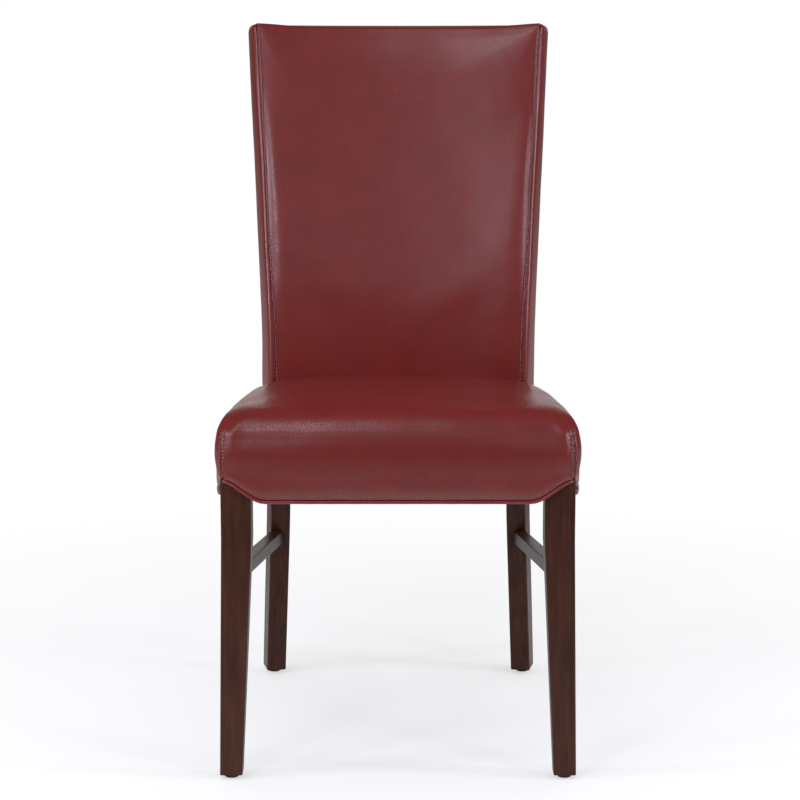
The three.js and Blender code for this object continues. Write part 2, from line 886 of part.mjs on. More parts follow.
// The room that the seat frame and its webbing take up, with a clearance round it.
function frameRoom() {
  const depths = [legSetback - clearance, ...spread(legRear, postFront + overrun, curveSteps)];
  const right = depths.map((y) => new THREE.Vector2(frameHalf(y) + clearance, y));
  const left = depths.toReversed().map((y) => new THREE.Vector2(-frameHalf(y) - clearance, y));
  const settings = { depth: webbingTop, bevelEnabled: false };
  return new THREE.ExtrudeGeometry(new THREE.Shape([...right, ...left]), settings);
}

// The corded edge follows the lower edge of the cover round the front and both sides.
function welt() {
  const half = weltPath();
  const path = [...half.map(flipped).toReversed(), ...half];
  return loft(path.map((place, k) => {
    const before = path[Math.max(k - 1, 0)];
    const after = path[Math.min(k + 1, path.length - 1)];
    return weltRing(place, after.clone().sub(before).normalize());
  }));
}

function weltRing(place, along) {
  const side = point(0, 0, 1).cross(along).normalize();
  const up = along.clone().cross(side);
  const angles = Array.from({ length: weltSides }, (_, k) => (2 * Math.PI * (k + 1 / 2)) / weltSides);
  return angles.map((t) => {
    const across = side.clone().multiplyScalar((weltDiameter / 2) * Math.cos(t));
    return place.clone().add(across).addScaledVector(up, (weltDiameter / 2) * Math.sin(t));
  });
}

function flipped(place) {
  return point(-place.x, place.y, place.z);
}

// How far a place on the lower edge lies from the outer corner of a front leg.
function fromLegCorner(x, y) {
  return Math.max(legFace - x, y - legSetback);
}

// The cord's path has all its points in the notches, and only some of them along the straight edges.
function weltPath() {
  const drop = weltDiameter / 2 + weltGap;
  const steps = { endSteps: weltFrontSteps, sideSteps: weltSideSteps };
  const fine = { ...seatShape, radius: seatRimRadius, ...steps };
  const within = halfOutline(fine, seatTuckIn).filter(([, y]) => y < seatTailEnd - weltDiameter);
  const kept = within.filter(([x, y], k) => fromLegCorner(x, y) < notchReach || k % weltSparing === 0);
  return kept.map(([x, y]) => {
    const lift = notchLift(fromLegCorner(x, y));
    return point(x, y, seatLowerEdge + lift - drop);
  });
}

// Back padding and covers

const backShape = {
  halfAt: (z) => backReach(z) + backSidePad,
  near: rearCoverBottom,
  farAt: () => chairHeight,
  radius: backCornerRadius,
  endSteps: 3,
  sideSteps: 12,
};

// How far behind the posts' front faces the rear panel's back lies.
function rearFace(z) {
  return postDepth(z) + rearPanelGap + rearPanelThickness;
}

// The back's profile round its rolled front edge to its middle: inset, and distance before the posts.
function backProfile() {
  const roll = backRollShares.map(([inward, out]) => [backRoll * inward, backPadThickness * out]);
  const crown = backCrownShares.map(([inward, out]) => [postCorner * inward, backPadThickness * out]);
  return [...roll, ...crown];
}

function backRing(inset, behind) {
  return outline(backShape, inset).map(([around, z]) => backPlace(around, behind(z), z));
}

// The whole back as one body, made smaller by a distance, with its rear end moved back by another.
function backBody(shrink, beyond) {
  const rings = thinner(backProfile(), shrink).map(([inset, ahead]) => backRing(inset, () => -ahead));
  return loft([backRing(shrink, (z) => rearFace(z) + beyond), ...rings]);
}

function belowTuck(lower) {
  return box(
    point(-seatWidth, 0, rearCoverBottom - overrun),
    point(seatWidth, postFront + seatWidth, backTuck + lower),
  );
}

// The part of the back that stands above its tuck behind the seat.
function tuckedBack(shrink, beyond) {
  return carve(backBody(shrink, beyond), [belowTuck(shrink)]);
}

function backCoverFront() {
  return carve(tuckedBack(0, 0), [backBody(coverThickness, overrun)]);
}

function backFoam() {
  const room = 2 * clearance;
  const frame = backSlab({
    heights: spread(rearCoverBottom - overrun, postTop + room, 3 * curveSteps),
    front: () => -room,
    rear: (z) => rearFace(z) + overrun,
    from: (z) => -backReach(z) - room,
    to: (z) => backReach(z) + room,
    aroundSteps: curveSteps,
  });
  return carve(tuckedBack(coverThickness + clearance, -rearPanelThickness - clearance), [frame]);
}

// A sheet bent to the back, between two distances behind the posts' rear faces.
function rearSheet(margin, from, to) {
  const insets = [margin, ...backCrownShares.map(([share]) => share * postCorner)];
  const inner = insets.toReversed().map((inset) => backRing(inset, (z) => postDepth(z) + from));
  const outer = insets.map((inset) => backRing(inset, (z) => postDepth(z) + to));
  return loft([...inner, ...outer]);
}

// The room at the rear of the seat that its side covers take up, with a clearance inside them.
function besideSeat() {
  const inside = thinner(seatProfile(), coverThickness + clearance);
  const within = [[inside[0][0], seatLowerEdge - 2 * overrun], ...inside];
  const room = box(
    point(-seatWidth, postFront, rearCoverBottom - overrun),
    point(seatWidth, seatTailEnd + overrun / 2, backTuck),
  );
  return carve(room, [seatBody(within)]);
}

function rearPanel() {
  const sheet = rearSheet(coverThickness + clearance, rearPanelGap, rearPanelGap + rearPanelThickness);
  return carve(sheet, [besideSeat()]);
}

function backCoverRear() {
  const from = rearPanelGap + rearPanelThickness + clearance;
  return carve(rearSheet(0, from, from + coverThickness), [besideSeat()]);
}

// Dust cover and foot glides

function dustCover() {
  const top = railBottom - clearance;
  const rear = rearRailFront + railThickness - dustCoverInset;
  const depths = spread(legSetback + dustCoverInset, rear, curveSteps);
  const right = depths.map((y) => new THREE.Vector2(frameHalf(y) - dustCoverInset, y));
  const left = depths.toReversed().map((y) => new THREE.Vector2(dustCoverInset - frameHalf(y), y));
  const settings = { depth: dustCoverThickness, bevelEnabled: false };
  const sheet = new THREE.ExtrudeGeometry(new THREE.Shape([...right, ...left]), settings);
  sheet.translate(0, 0, top - dustCoverThickness);
  return carve(sheet, [...bothLegs(clearance), ...bothPosts(clearance)]);
}

// A glide with its nail; grown by a clearance it is the hole that the nail needs.
function glide(foot, grow) {
  const pin = glidePinDiameter / 2 + grow;
  const tip = glideHeight + glidePinLength + grow;
  const face = glideDiameter / 2;
  const profile = [[0, 0], [face - glideRim, 0], [face, glideRim], [face, glideHeight]];
  const place = { seat: foot, inward: point(0, 0, 1) };
  return turned([...profile, [pin, glideHeight], [pin, tip], [0, tip]], place);
}

// Materials

function material(color, roughness, metalness) {
  return new THREE.MeshStandardMaterial({ color, roughness, metalness });
}

const leather = material(0x782d2a, 0.42, 0);
const darkWood = material(0x3c2019, 0.4, 0);
const frameWood = material(0xb08a5a, 0.8, 0);
const steel = material(0xb4b6b8, 0.35, 1);
const blackPlastic = material(0x151414, 0.5, 0);
const webbing = material(0x9a8462, 0.9, 0);
const foam = material(0xe6dcc0, 0.95, 0);
const hardboard = material(0x6d5236, 0.85, 0);
const blackCloth = material(0x1b1a1a, 0.95, 0);

// Assembly

const chair = new THREE.Group();

function add(name, geometry, finish) {
  const mesh = new THREE.Mesh(geometry, finish);
  mesh.name = name;
  chair.add(mesh);
}

function addPair(name, geometry, finish) {
  add(`${name}_left`, geometry, finish);
  add(`${name}_right`, mirrored(geometry), finish);
}

addPair('front_leg', frontLeg(), darkWood);
addPair('rear_post', rearPost(), darkWood);
addPair('side_stretcher', sideStretcher(), darkWood);
addPair('glide_front', glide(legFootPlace(), 0), blackPlastic);
addPair('glide_rear', glide(postFootPlace(), 0), blackPlastic);
add('seat_rail_front', frontRail(), frameWood);
add('seat_rail_rear', rearRail(), frameWood);
addPair('seat_rail', sideRail(), frameWood);
add('back_rail_bottom', backRail(backBottomRailLow), frameWood);
add('back_rail_middle', backRail(backMiddleRailLow), frameWood);
add('back_rail_top', backRail(backTopRailLow), frameWood);
addPair('corner_block_front', frontBlock(), frameWood);
addPair('corner_block_rear', rearBlock(), frameWood);
addPair('bolt_front', bolt(frontBoltPlace()), steel);
addPair('bolt_rear', bolt(rearBoltPlace()), steel);
addPair('washer_front', washer(frontBoltPlace()), steel);
addPair('washer_rear', washer(rearBoltPlace()), steel);
for (const order of strapOrders) {
  add(`seat_strap_long_${order + 2}`, lengthStrap(order), webbing);
  add(`seat_strap_cross_${order + 2}`, crossStrap(order), webbing);
  add(`back_strap_${order + 2}`, backStrap(order), webbing);
}
add('seat_foam', seatFoam(), foam);
add('seat_cover', seatCover(), leather);
add('seat_welt', welt(), leather);
add('dust_cover', dustCover(), blackCloth);
add('back_foam', backFoam(), foam);
add('back_panel', rearPanel(), hardboard);
add('back_cover_front', backCoverFront(), leather);
add('back_cover_rear', backCoverRear(), leather);

// The origin stands on the floor under the middle of the chair.
const reach = new THREE.Box3().setFromObject(chair);
chair.position.y = -(reach.min.y + reach.max.y) / 2;

export default chair;
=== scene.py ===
# %% [markdown]
# # An upholstered dining chair with a high back
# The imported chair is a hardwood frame: two front legs, two raked posts, rails, stretchers, webbing and foam.
# It comes in as fixed parts, in metres, with +Z up and the front facing -Y. This lesson dresses it: the sewn
# leather is modelled over the plain CAD covers, and every wooden, woven and metal part gets its own finish.

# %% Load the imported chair
import math
import bpy
import numpy as np
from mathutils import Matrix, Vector, noise
from mathutils.bvhtree import BVHTree


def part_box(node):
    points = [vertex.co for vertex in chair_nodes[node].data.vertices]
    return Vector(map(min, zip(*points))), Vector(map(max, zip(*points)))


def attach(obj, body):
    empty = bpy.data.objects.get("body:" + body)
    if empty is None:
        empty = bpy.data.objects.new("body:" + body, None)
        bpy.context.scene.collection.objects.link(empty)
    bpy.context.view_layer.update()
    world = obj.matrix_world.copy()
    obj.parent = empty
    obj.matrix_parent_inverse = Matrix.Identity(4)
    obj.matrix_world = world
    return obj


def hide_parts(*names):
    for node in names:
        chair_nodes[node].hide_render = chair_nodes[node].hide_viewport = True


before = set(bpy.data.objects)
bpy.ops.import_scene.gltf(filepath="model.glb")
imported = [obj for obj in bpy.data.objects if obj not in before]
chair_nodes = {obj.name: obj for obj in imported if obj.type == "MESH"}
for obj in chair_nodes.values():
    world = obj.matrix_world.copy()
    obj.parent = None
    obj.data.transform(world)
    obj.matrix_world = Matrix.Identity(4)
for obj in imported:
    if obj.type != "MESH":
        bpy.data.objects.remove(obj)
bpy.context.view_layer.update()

# %% [markdown]
# ## The camera
# The photograph shows the chair head-on from a little above. A wide lens close by would make the front legs
# bulge, so the camera stands 2.5 metres off with a long lens and looks 8.5 degrees down. The distance was
# worked out from how much smaller the rear feet look than the front ones.

# %% Stand the camera in front of the chair
def studio_camera(place, look_down, lens):
    data = bpy.data.cameras.new("studio_camera")
    data.lens = lens
    data.sensor_width = 36
    camera = bpy.data.objects.new("studio_camera", data)
    camera.location = place
    camera.rotation_euler = (math.radians(90 - look_down), 0, 0)
    bpy.context.scene.collection.objects.link(camera)
    return camera

bpy.context.scene.camera = studio_camera((0.0026, -2.8098, 0.8789), look_down=8.483, lens=89.33)
bpy.context.scene.view_settings.view_transform = "Standard"
print("camera at", tuple(round(c, 3) for c in bpy.context.scene.camera.location))

# %% [markdown]
# ## Small helpers for node trees
# A procedural finish is a chain of nodes. A few short helpers keep that readable: one adds a node and sets
# its values, one joins two sockets or writes a plain value into one, and one starts a node group with named
# inputs and outputs. A group is made once and used by each finish that needs it, with other values.

# %% Helpers that add, join and group nodes
def add_node(tree, kind, **values):
    node = tree.nodes.new(kind)
    for name, value in values.items():
        if name in node.inputs:
            node.inputs[name].default_value = value
        else:
            setattr(node, name, value)
    return node

def join(tree, value, socket):
    if isinstance(value, bpy.types.NodeSocket):
        tree.links.new(value, socket)
    else:
        socket.default_value = value

def object_place(tree):
    return add_node(tree, "ShaderNodeTexCoord").outputs["Object"]

def start_group(name, inputs, outputs):
    group = bpy.data.node_groups.new(name, "ShaderNodeTree")
    for label, kind, value in inputs:
        socket = group.interface.new_socket(name=label, in_out="INPUT", socket_type=kind)
        if value is not None:
            socket.default_value = value
    for label, kind in outputs:
        group.interface.new_socket(name=label, in_out="OUTPUT", socket_type=kind)
    return group, add_node(group, "NodeGroupInput"), add_node(group, "NodeGroupOutput")

FLOAT, COLOR, VECTOR = "NodeSocketFloat", "NodeSocketColor", "NodeSocketVector"
print("node helpers ready")

# %% Helpers for sums and blends inside a node tree
MIX_FACTOR, MIX_FIRST_COLOR, MIX_SECOND_COLOR, MIX_COLOR_OUT = 0, 6, 7, 2

def fill_inputs(tree, node, *values):
    for k, value in enumerate(values):
        join(tree, value, node.inputs[k])
    return node

def math_node(tree, operation, first, second=0.0):
    node = add_node(tree, "ShaderNodeMath", operation=operation)
    return fill_inputs(tree, node, first, second).outputs[0]

def blend_colors(tree, mask, low, high):
    node = add_node(tree, "ShaderNodeMix", data_type="RGBA")
    join(tree, mask, node.inputs[MIX_FACTOR])
    join(tree, low, node.inputs[MIX_FIRST_COLOR])
    join(tree, high, node.inputs[MIX_SECOND_COLOR])
    return node.outputs[MIX_COLOR_OUT]

def span(tree, value, from_low, from_high, to_low, to_high):
    node = add_node(tree, "ShaderNodeMapRange")
    return fill_inputs(tree, node, value, from_low, from_high, to_low, to_high).outputs[0]

def rgb(red, green, blue):
    return (red, green, blue, 1)

print("blend helpers ready")

# %% [markdown]
# ## Cloudy change of tone
# Nothing on a real chair has one even colour: hides take dye unevenly, and stain sinks deeper into some wood.
# A soft noise at a few centimetres gives that. It is a group because every finish uses it.

# %% Group: uneven tone
def uneven_tone_group():
    group, given, made = start_group("uneven_tone",
        [("Color", COLOR, None), ("Patch Size", FLOAT, 0.05), ("Amount", FLOAT, 0.15)],
        [("Color", COLOR), ("Mask", FLOAT)])
    clouds = add_node(group, "ShaderNodeTexNoise", Detail=3, Roughness=0.55)
    join(group, object_place(group), clouds.inputs["Vector"])
    join(group, math_node(group, "DIVIDE", 1.0, given.outputs["Patch Size"]), clouds.inputs["Scale"])
    mask = span(group, clouds.outputs["Fac"], 0.3, 0.7, 0.0, 1.0)
    low = math_node(group, "SUBTRACT", 1.0, given.outputs["Amount"])
    high = math_node(group, "ADD", 1.0, given.outputs["Amount"])
    tone = add_node(group, "ShaderNodeHueSaturation")
    join(group, span(group, mask, 0.0, 1.0, low, high), tone.inputs["Value"])
    join(group, given.outputs["Color"], tone.inputs["Color"])
    join(group, tone.outputs[0], made.inputs["Color"])
    join(group, mask, made.inputs["Mask"])
    return group

uneven_tone = uneven_tone_group()
print("group:", uneven_tone.name)

# %% [markdown]
# ## Pebble grain of the leather
# Finished upholstery leather is embossed with rounded pebbles, two to three millimetres across, with fine
# creases between them. A Voronoi pattern gives the pebbles: its distance to the cell edge is low in a crease.
# Warping it with noise keeps the cells from looking like tiles.

# %% Group: pebble grain
pebble_warp, fine_share = 0.0012, 0.25

def pebble_grain_group():
    group, given, made = start_group("pebble_grain",
        [("Pebble Size", FLOAT, 0.0022), ("Crease Width", FLOAT, 0.18)],
        [("Height", FLOAT), ("Crease", FLOAT)])
    place = object_place(group)
    wander = add_node(group, "ShaderNodeTexNoise", Scale=260.0, Detail=2)
    join(group, place, wander.inputs["Vector"])
    shift = add_node(group, "ShaderNodeVectorMath", operation="MULTIPLY_ADD")
    join(group, wander.outputs["Color"], shift.inputs[0])
    shift.inputs[1].default_value = (pebble_warp, pebble_warp, pebble_warp)
    join(group, place, shift.inputs[2])
    cells = add_node(group, "ShaderNodeTexVoronoi", feature="DISTANCE_TO_EDGE")
    join(group, shift.outputs[0], cells.inputs["Vector"])
    join(group, math_node(group, "DIVIDE", 1.0, given.outputs["Pebble Size"]), cells.inputs["Scale"])
    pebble = span(group, cells.outputs["Distance"], 0.0, given.outputs["Crease Width"], 0.0, 1.0)
    fine = add_node(group, "ShaderNodeTexNoise", Scale=1400.0, Detail=2)
    join(group, place, fine.inputs["Vector"])
    roughened = math_node(group, "MULTIPLY", fine.outputs["Fac"], fine_share)
    height = math_node(group, "ADD", pebble, roughened)
    join(group, height, made.inputs["Height"])
    join(group, math_node(group, "SUBTRACT", 1.0, pebble), made.inputs["Crease"])
    return group

pebble_grain = pebble_grain_group()
print("group:", pebble_grain.name)

# %% [markdown]
# ## Grain of the wood
# Wood is a bundle of fibres, so its pattern is long along the member and fine across it. Noise on stretched
# coordinates gives the streaks, and a second, finer noise gives the open pores. The direction is an input,
# because legs stand up while stretchers and rails lie down.

# %% Group: wood grain
def wood_grain_group():
    group, given, made = start_group("wood_grain",
        [("Stretch", VECTOR, (1.0, 1.0, 0.08)), ("Light", COLOR, None), ("Dark", COLOR, None)],
        [("Color", COLOR), ("Pores", FLOAT), ("Height", FLOAT)])
    place = object_place(group)
    along = add_node(group, "ShaderNodeVectorMath", operation="MULTIPLY")
    join(group, place, along.inputs[0])
    join(group, given.outputs["Stretch"], along.inputs[1])
    streaks = add_node(group, "ShaderNodeTexNoise", Scale=130.0, Detail=5, Roughness=0.6, Distortion=0.4)
    join(group, along.outputs[0], streaks.inputs["Vector"])
    pores = add_node(group, "ShaderNodeTexNoise", Scale=900.0, Detail=2, Roughness=0.5)
    join(group, along.outputs[0], pores.inputs["Vector"])
    figure = span(group, streaks.outputs["Fac"], 0.32, 0.68, 0.0, 1.0)
    open_pores = span(group, pores.outputs["Fac"], 0.6, 0.72, 0.0, 1.0)
    body = blend_colors(group, figure, given.outputs["Dark"], given.outputs["Light"])
    pore_mask = math_node(group, "MULTIPLY", open_pores, 0.5)
    join(group, blend_colors(group, pore_mask, body, given.outputs["Dark"]), made.inputs["Color"])
    join(group, open_pores, made.inputs["Pores"])
    join(group, math_node(group, "SUBTRACT", figure, open_pores), made.inputs["Height"])
    return group

wood_grain = wood_grain_group()
print("group:", wood_grain.name)

# %% [markdown]
# ## Plain weave
# Webbing and dust cloth are woven: threads go over and under each other in two directions. Two sine waves
# multiplied give the checkerboard of raised threads. The thread pitch is an input, coarse for the jute
# straps and very fine for the dust cloth.

# %% Group: plain weave
def plain_weave_group():
    group, given, made = start_group("plain_weave",
        [("Thread Pitch", FLOAT, 0.0016)], [("Height", FLOAT), ("Gap", FLOAT)])
    place = object_place(group)
    axes = add_node(group, "ShaderNodeSeparateXYZ")
    join(group, place, axes.inputs[0])
    turns = math_node(group, "DIVIDE", math.pi, given.outputs["Thread Pitch"])
    def wave(axis):
        return math_node(group, "SINE", math_node(group, "MULTIPLY", axis, turns))
    down = math_node(group, "ADD", axes.outputs["Y"], axes.outputs["Z"])
    knots = math_node(group, "ABSOLUTE", math_node(group, "MULTIPLY", wave(axes.outputs["X"]), wave(down)))
    join(group, knots, made.inputs["Height"])
    join(group, span(group, knots, 0.0, 0.25, 1.0, 0.0), made.inputs["Gap"])
    return group

plain_weave = plain_weave_group()
print("group:", plain_weave.name)

# %% [markdown]
# ## Fine speckle
# Moulded plastic, hardboard, zinc and foam look smooth from afar, but each has a fine texture close by. One
# noise group with its own grain size serves them all.

# %% Group: fine speckle
def fine_speckle_group():
    group, given, made = start_group("fine_speckle", [("Grain Size", FLOAT, 0.0005)], [("Mask", FLOAT)])
    specks = add_node(group, "ShaderNodeTexNoise", Detail=3, Roughness=0.6)
    join(group, object_place(group), specks.inputs["Vector"])
    join(group, math_node(group, "DIVIDE", 1.0, given.outputs["Grain Size"]), specks.inputs["Scale"])
    join(group, span(group, specks.outputs["Fac"], 0.35, 0.65, 0.0, 1.0), made.inputs["Mask"])
    return group

fine_speckle = fine_speckle_group()
print("group:", fine_speckle.name)

# %% Helper that starts a finish with its shader
def start_finish(name, **values):
    material = bpy.data.materials.new(name)
    material.use_nodes = True
    tree = material.node_tree
    shader = tree.nodes["Principled BSDF"]
    for label, value in values.items():
        shader.inputs[label.replace("_", " ")].default_value = value
    return material, tree, shader

def use_group(tree, group, **values):
    node = add_node(tree, "ShaderNodeGroup", node_tree=group)
    for label, value in values.items():
        join(tree, value, node.inputs[label.replace("_", " ")])
    return node

def emboss(tree, shader, height, strength, depth):
    bump = add_node(tree, "ShaderNodeBump", Strength=strength, Distance=depth)
    join(tree, height, bump.inputs["Height"])
    join(tree, bump.outputs[0], shader.inputs["Normal"])

print("finish helpers ready")

# %% [markdown]
# ## Leather
# The hide has a deep oxblood dye, is embossed, and is sealed with a satin finish. One red is made lighter and
# darker by the uneven tone. The creases of the pebble grain get painted shade, a darker red in place of a
# deeper bump. A vertex mask that the meshes carry paints shade into the sewn seams and the stitch holes.
# Roughness is a little higher in the creases, and the grain's height feeds one Bump node. Its depth is small,
# since a strong bump would blur the gloss.

# %% Finish: leather
oxblood = rgb(0.185, 0.0095, 0.0075)
# Painted shade: this darker red goes into the grain's creases and the sewn seams.
oxblood_painted_shade = rgb(0.062, 0.003, 0.0025)
crease_dullness, seam_painted_shade = 0.12, 0.75

def leather_finish(name, base, roughness, pebble, depth, crease_painted_shade):
    material, tree, shader = start_finish(name, Specular_IOR_Level=0.75)
    tone = use_group(tree, uneven_tone, Color=base, Patch_Size=0.045, Amount=0.08)
    grain = use_group(tree, pebble_grain, Pebble_Size=pebble, Crease_Width=0.26)
    seam = add_node(tree, "ShaderNodeAttribute", attribute_name="seam")
    # Painted shade in the creases of the grain, in place of a deeper bump.
    crease_shade_amount = math_node(tree, "MULTIPLY", grain.outputs["Crease"], crease_painted_shade)
    crease_shaded_color = blend_colors(tree, crease_shade_amount, tone.outputs["Color"], oxblood_painted_shade)
    # Painted shade in the seam grooves and stitch holes, read from the seam mask.
    seam_shade_amount = math_node(tree, "MULTIPLY", seam.outputs["Fac"], seam_painted_shade)
    join(tree, blend_colors(tree, seam_shade_amount, crease_shaded_color, oxblood_painted_shade), shader.inputs["Base Color"])
    rough = span(tree, grain.outputs["Crease"], 0.0, 1.0, roughness, roughness + crease_dullness)
    join(tree, rough, shader.inputs["Roughness"])
    emboss(tree, shader, grain.outputs["Height"], 0.3, depth)
    return material

seat_leather = leather_finish("seat_leather", oxblood, roughness=0.27, pebble=0.0031, depth=0.00015,
                              crease_painted_shade=0.5)
back_leather = leather_finish("back_leather", oxblood, roughness=0.26, pebble=0.0028, depth=0.00004,
                              crease_painted_shade=0.4)
cord_leather = leather_finish("cord_leather", rgb(0.2, 0.012, 0.009), roughness=0.3, pebble=0.0016,
                              depth=0.00006, crease_painted_shade=0.4)
print("leather finishes:", seat_leather.name, back_leather.name, cord_leather.name)

# %% [markdown]
# ## Thread
# The stitches are waxed polyester, a shade lighter than the hide. Its twist is a fine speckle, and the wax
# makes it a bit glossier than cloth.

# %% Finish: waxed thread
def thread_finish():
    material, tree, shader = start_finish("waxed_thread", Roughness=0.55, Specular_IOR_Level=0.25)
    twist = use_group(tree, fine_speckle, Grain_Size=0.0004)
    join(tree, blend_colors(tree, twist.outputs["Mask"], rgb(0.24, 0.05, 0.045), rgb(0.42, 0.14, 0.13)),
         shader.inputs["Base Color"])
    emboss(tree, shader, twist.outputs["Mask"], 0.4, 0.0002)
    return material

waxed_thread = thread_finish()
print("finish:", waxed_thread.name)

# %% [markdown]
# ## Stained and raw wood
# The legs and stretchers are stained dark brown under satin lacquer, so the grain is only faint, and a thin
# clear coat stands for the lacquer. The frame inside is raw beech. Both use the same grain group, once for
# each direction of the fibres.

# %% Finish: wood in three directions
upright, lengthwise, crosswise = (1.0, 1.0, 0.07), (1.0, 0.07, 1.0), (0.07, 1.0, 1.0)
dark_stain = (rgb(0.068, 0.021, 0.01), rgb(0.03, 0.008, 0.004))
raw_beech = (rgb(0.52, 0.33, 0.17), rgb(0.34, 0.19, 0.085))
pore_dullness = 0.2

def wood_finish(name, stretch, colors, roughness, coat):
    material, tree, shader = start_finish(name, Coat_Roughness=0.22, Specular_IOR_Level=0.18)
    grain = use_group(tree, wood_grain, Stretch=stretch, Light=colors[0], Dark=colors[1])
    tone = use_group(tree, uneven_tone, Color=grain.outputs["Color"], Patch_Size=0.09, Amount=0.14)
    join(tree, tone.outputs["Color"], shader.inputs["Base Color"])
    rough = span(tree, grain.outputs["Pores"], 0.0, 1.0, roughness, roughness + pore_dullness)
    join(tree, rough, shader.inputs["Roughness"])
    shader.inputs["Coat Weight"].default_value = coat
    emboss(tree, shader, grain.outputs["Height"], 0.2, 0.0001)
    return material

stained_upright = wood_finish("stained_wood_upright", upright, dark_stain, roughness=0.4, coat=0.05)
stained_lengthwise = wood_finish("stained_wood_lengthwise", lengthwise, dark_stain, roughness=0.4, coat=0.05)
beech_lengthwise = wood_finish("raw_beech_lengthwise", lengthwise, raw_beech, roughness=0.7, coat=0.0)
beech_crosswise = wood_finish("raw_beech_crosswise", crosswise, raw_beech, roughness=0.7, coat=0.0)
wood_finishes = (stained_upright, stained_lengthwise, beech_lengthwise, beech_crosswise)
print("wood finishes:", [finish.name for finish in wood_finishes])

# %% [markdown]
# ## Webbing, dust cloth, board and foam
# These lie inside or underneath. Jute webbing has a coarse open weave and the dust cloth is thin black cloth;
# the gaps between their threads get painted shade. Hardboard is pressed brown fibre, and foam is pale with
# tiny open cells.

# %% Finish: webbing and dust cloth
def woven_finish(name, thread, gap_shade_color, pitch, roughness, depth):
    material, tree, shader = start_finish(name, Roughness=roughness, Specular_IOR_Level=0.2)
    weave = use_group(tree, plain_weave, Thread_Pitch=pitch)
    tone = use_group(tree, uneven_tone, Color=thread, Patch_Size=0.02, Amount=0.12)
    # Painted shade: the gaps between the threads take the darker colour.
    join(tree, blend_colors(tree, weave.outputs["Gap"], tone.outputs["Color"], gap_shade_color),
         shader.inputs["Base Color"])
    emboss(tree, shader, weave.outputs["Height"], 0.6, depth)
    return material

jute_webbing = woven_finish("jute_webbing", rgb(0.4, 0.27, 0.13), rgb(0.16, 0.1, 0.05), pitch=0.0018,
                            roughness=0.85, depth=0.0006)
dust_cloth = woven_finish("black_dust_cloth", rgb(0.016, 0.016, 0.017), rgb(0.004, 0.004, 0.004),
                          pitch=0.0007, roughness=0.9, depth=0.0002)
print("woven finishes:", jute_webbing.name, dust_cloth.name)

# %% Finish: hardboard, foam, zinc and moulded plastic
def speckled_finish(name, low, high, grain_size, depth, **values):
    material, tree, shader = start_finish(name, **values)
    specks = use_group(tree, fine_speckle, Grain_Size=grain_size)
    tone = use_group(tree, uneven_tone, Color=high, Patch_Size=0.03, Amount=0.08)
    join(tree, blend_colors(tree, specks.outputs["Mask"], low, tone.outputs["Color"]),
         shader.inputs["Base Color"])
    emboss(tree, shader, specks.outputs["Mask"], 0.4, depth)
    return material

hardboard = speckled_finish("pressed_hardboard", rgb(0.1, 0.055, 0.025), rgb(0.19, 0.11, 0.05),
                            grain_size=0.0012, depth=0.0001, Roughness=0.6)
foam = speckled_finish("open_cell_foam", rgb(0.5, 0.42, 0.25), rgb(0.82, 0.74, 0.52),
                       grain_size=0.0011, depth=0.0005, Roughness=0.95, Specular_IOR_Level=0.1)
zinc = speckled_finish("zinc_plated_steel", rgb(0.42, 0.43, 0.44), rgb(0.56, 0.57, 0.58),
                       grain_size=0.0008, depth=0.00005, Roughness=0.34, Metallic=1.0)
black_plastic = speckled_finish("moulded_black_plastic", rgb(0.008, 0.008, 0.008), rgb(0.016, 0.016, 0.016),
                                grain_size=0.0004, depth=0.00006, Roughness=0.5)
print("speckled finishes:", hardboard.name, foam.name, zinc.name, black_plastic.name)

# %% [markdown]
# ## Finishing the parts that stay
# Legs, posts, stretchers, rails, blocks, straps, bolts and glides keep their CAD shape. Real edges are never
# razor sharp, so a Bevel modifier eases them by about a millimetre or less, and a Weighted Normal modifier
# keeps the large faces flat while the eased edge catches the light. The meshes keep all their points: only
# their faces are told to shade smoothly.

# %% Dress the frame's nodes
node_finishes = {
    "front_leg": stained_upright, "rear_post": stained_upright, "side_stretcher": stained_lengthwise,
    "glide_front": black_plastic, "glide_rear": black_plastic, "bolt": zinc, "washer": zinc,
    "seat_rail_left": beech_lengthwise, "seat_rail_right": beech_lengthwise,
    "seat_rail_front": beech_crosswise, "seat_rail_rear": beech_crosswise,
    "corner_block": beech_crosswise, "back_rail": beech_crosswise,
    "seat_strap": jute_webbing, "back_strap": jute_webbing, "dust_cover": dust_cloth, "back_panel": hardboard,
}
edge_easing = {"front_leg": 0.0012, "rear_post": 0.0012, "side_stretcher": 0.001}
least_easing, sharpest_left_alone = 0.0003, math.radians(32)

def finish_for(name, table, otherwise):
    found = [key for key in table if name.startswith(key)]
    return table[max(found, key=len)] if found else otherwise

def ease_edges(part, width):
    part.data.polygons.foreach_set("use_smooth", [True] * len(part.data.polygons))
    weld = part.modifiers.new("join_corners", "WELD")
    weld.merge_threshold = 0.00001
    bevel = part.modifiers.new("eased_edges", "BEVEL")
    bevel.width, bevel.segments, bevel.limit_method = width, 2, "ANGLE"
    bevel.angle_limit = sharpest_left_alone
    part.modifiers.new("flat_faces", "WEIGHTED_NORMAL").weight = 80

def dress_node(name, part):
    finish = finish_for(name, node_finishes, None)
    if finish is None:
        return 0
    part.data.materials.clear()
    part.data.materials.append(finish)
    ease_edges(part, finish_for(name, edge_easing, least_easing))
    return 1

print("nodes dressed:", sum(dress_node(name, part) for name, part in chair_nodes.items()))

# %% [markdown]
# ## Sizes of the seat
# The leather is modelled over the CAD covers, so it needs their sizes. They are read from the boxes of the
# nodes where possible. The soft leather hangs three millimetres lower than the CAD cover, over the cord.
# Depths are counted from the front of the seat, and the helper `at` turns them into places in the chair's
# frame.

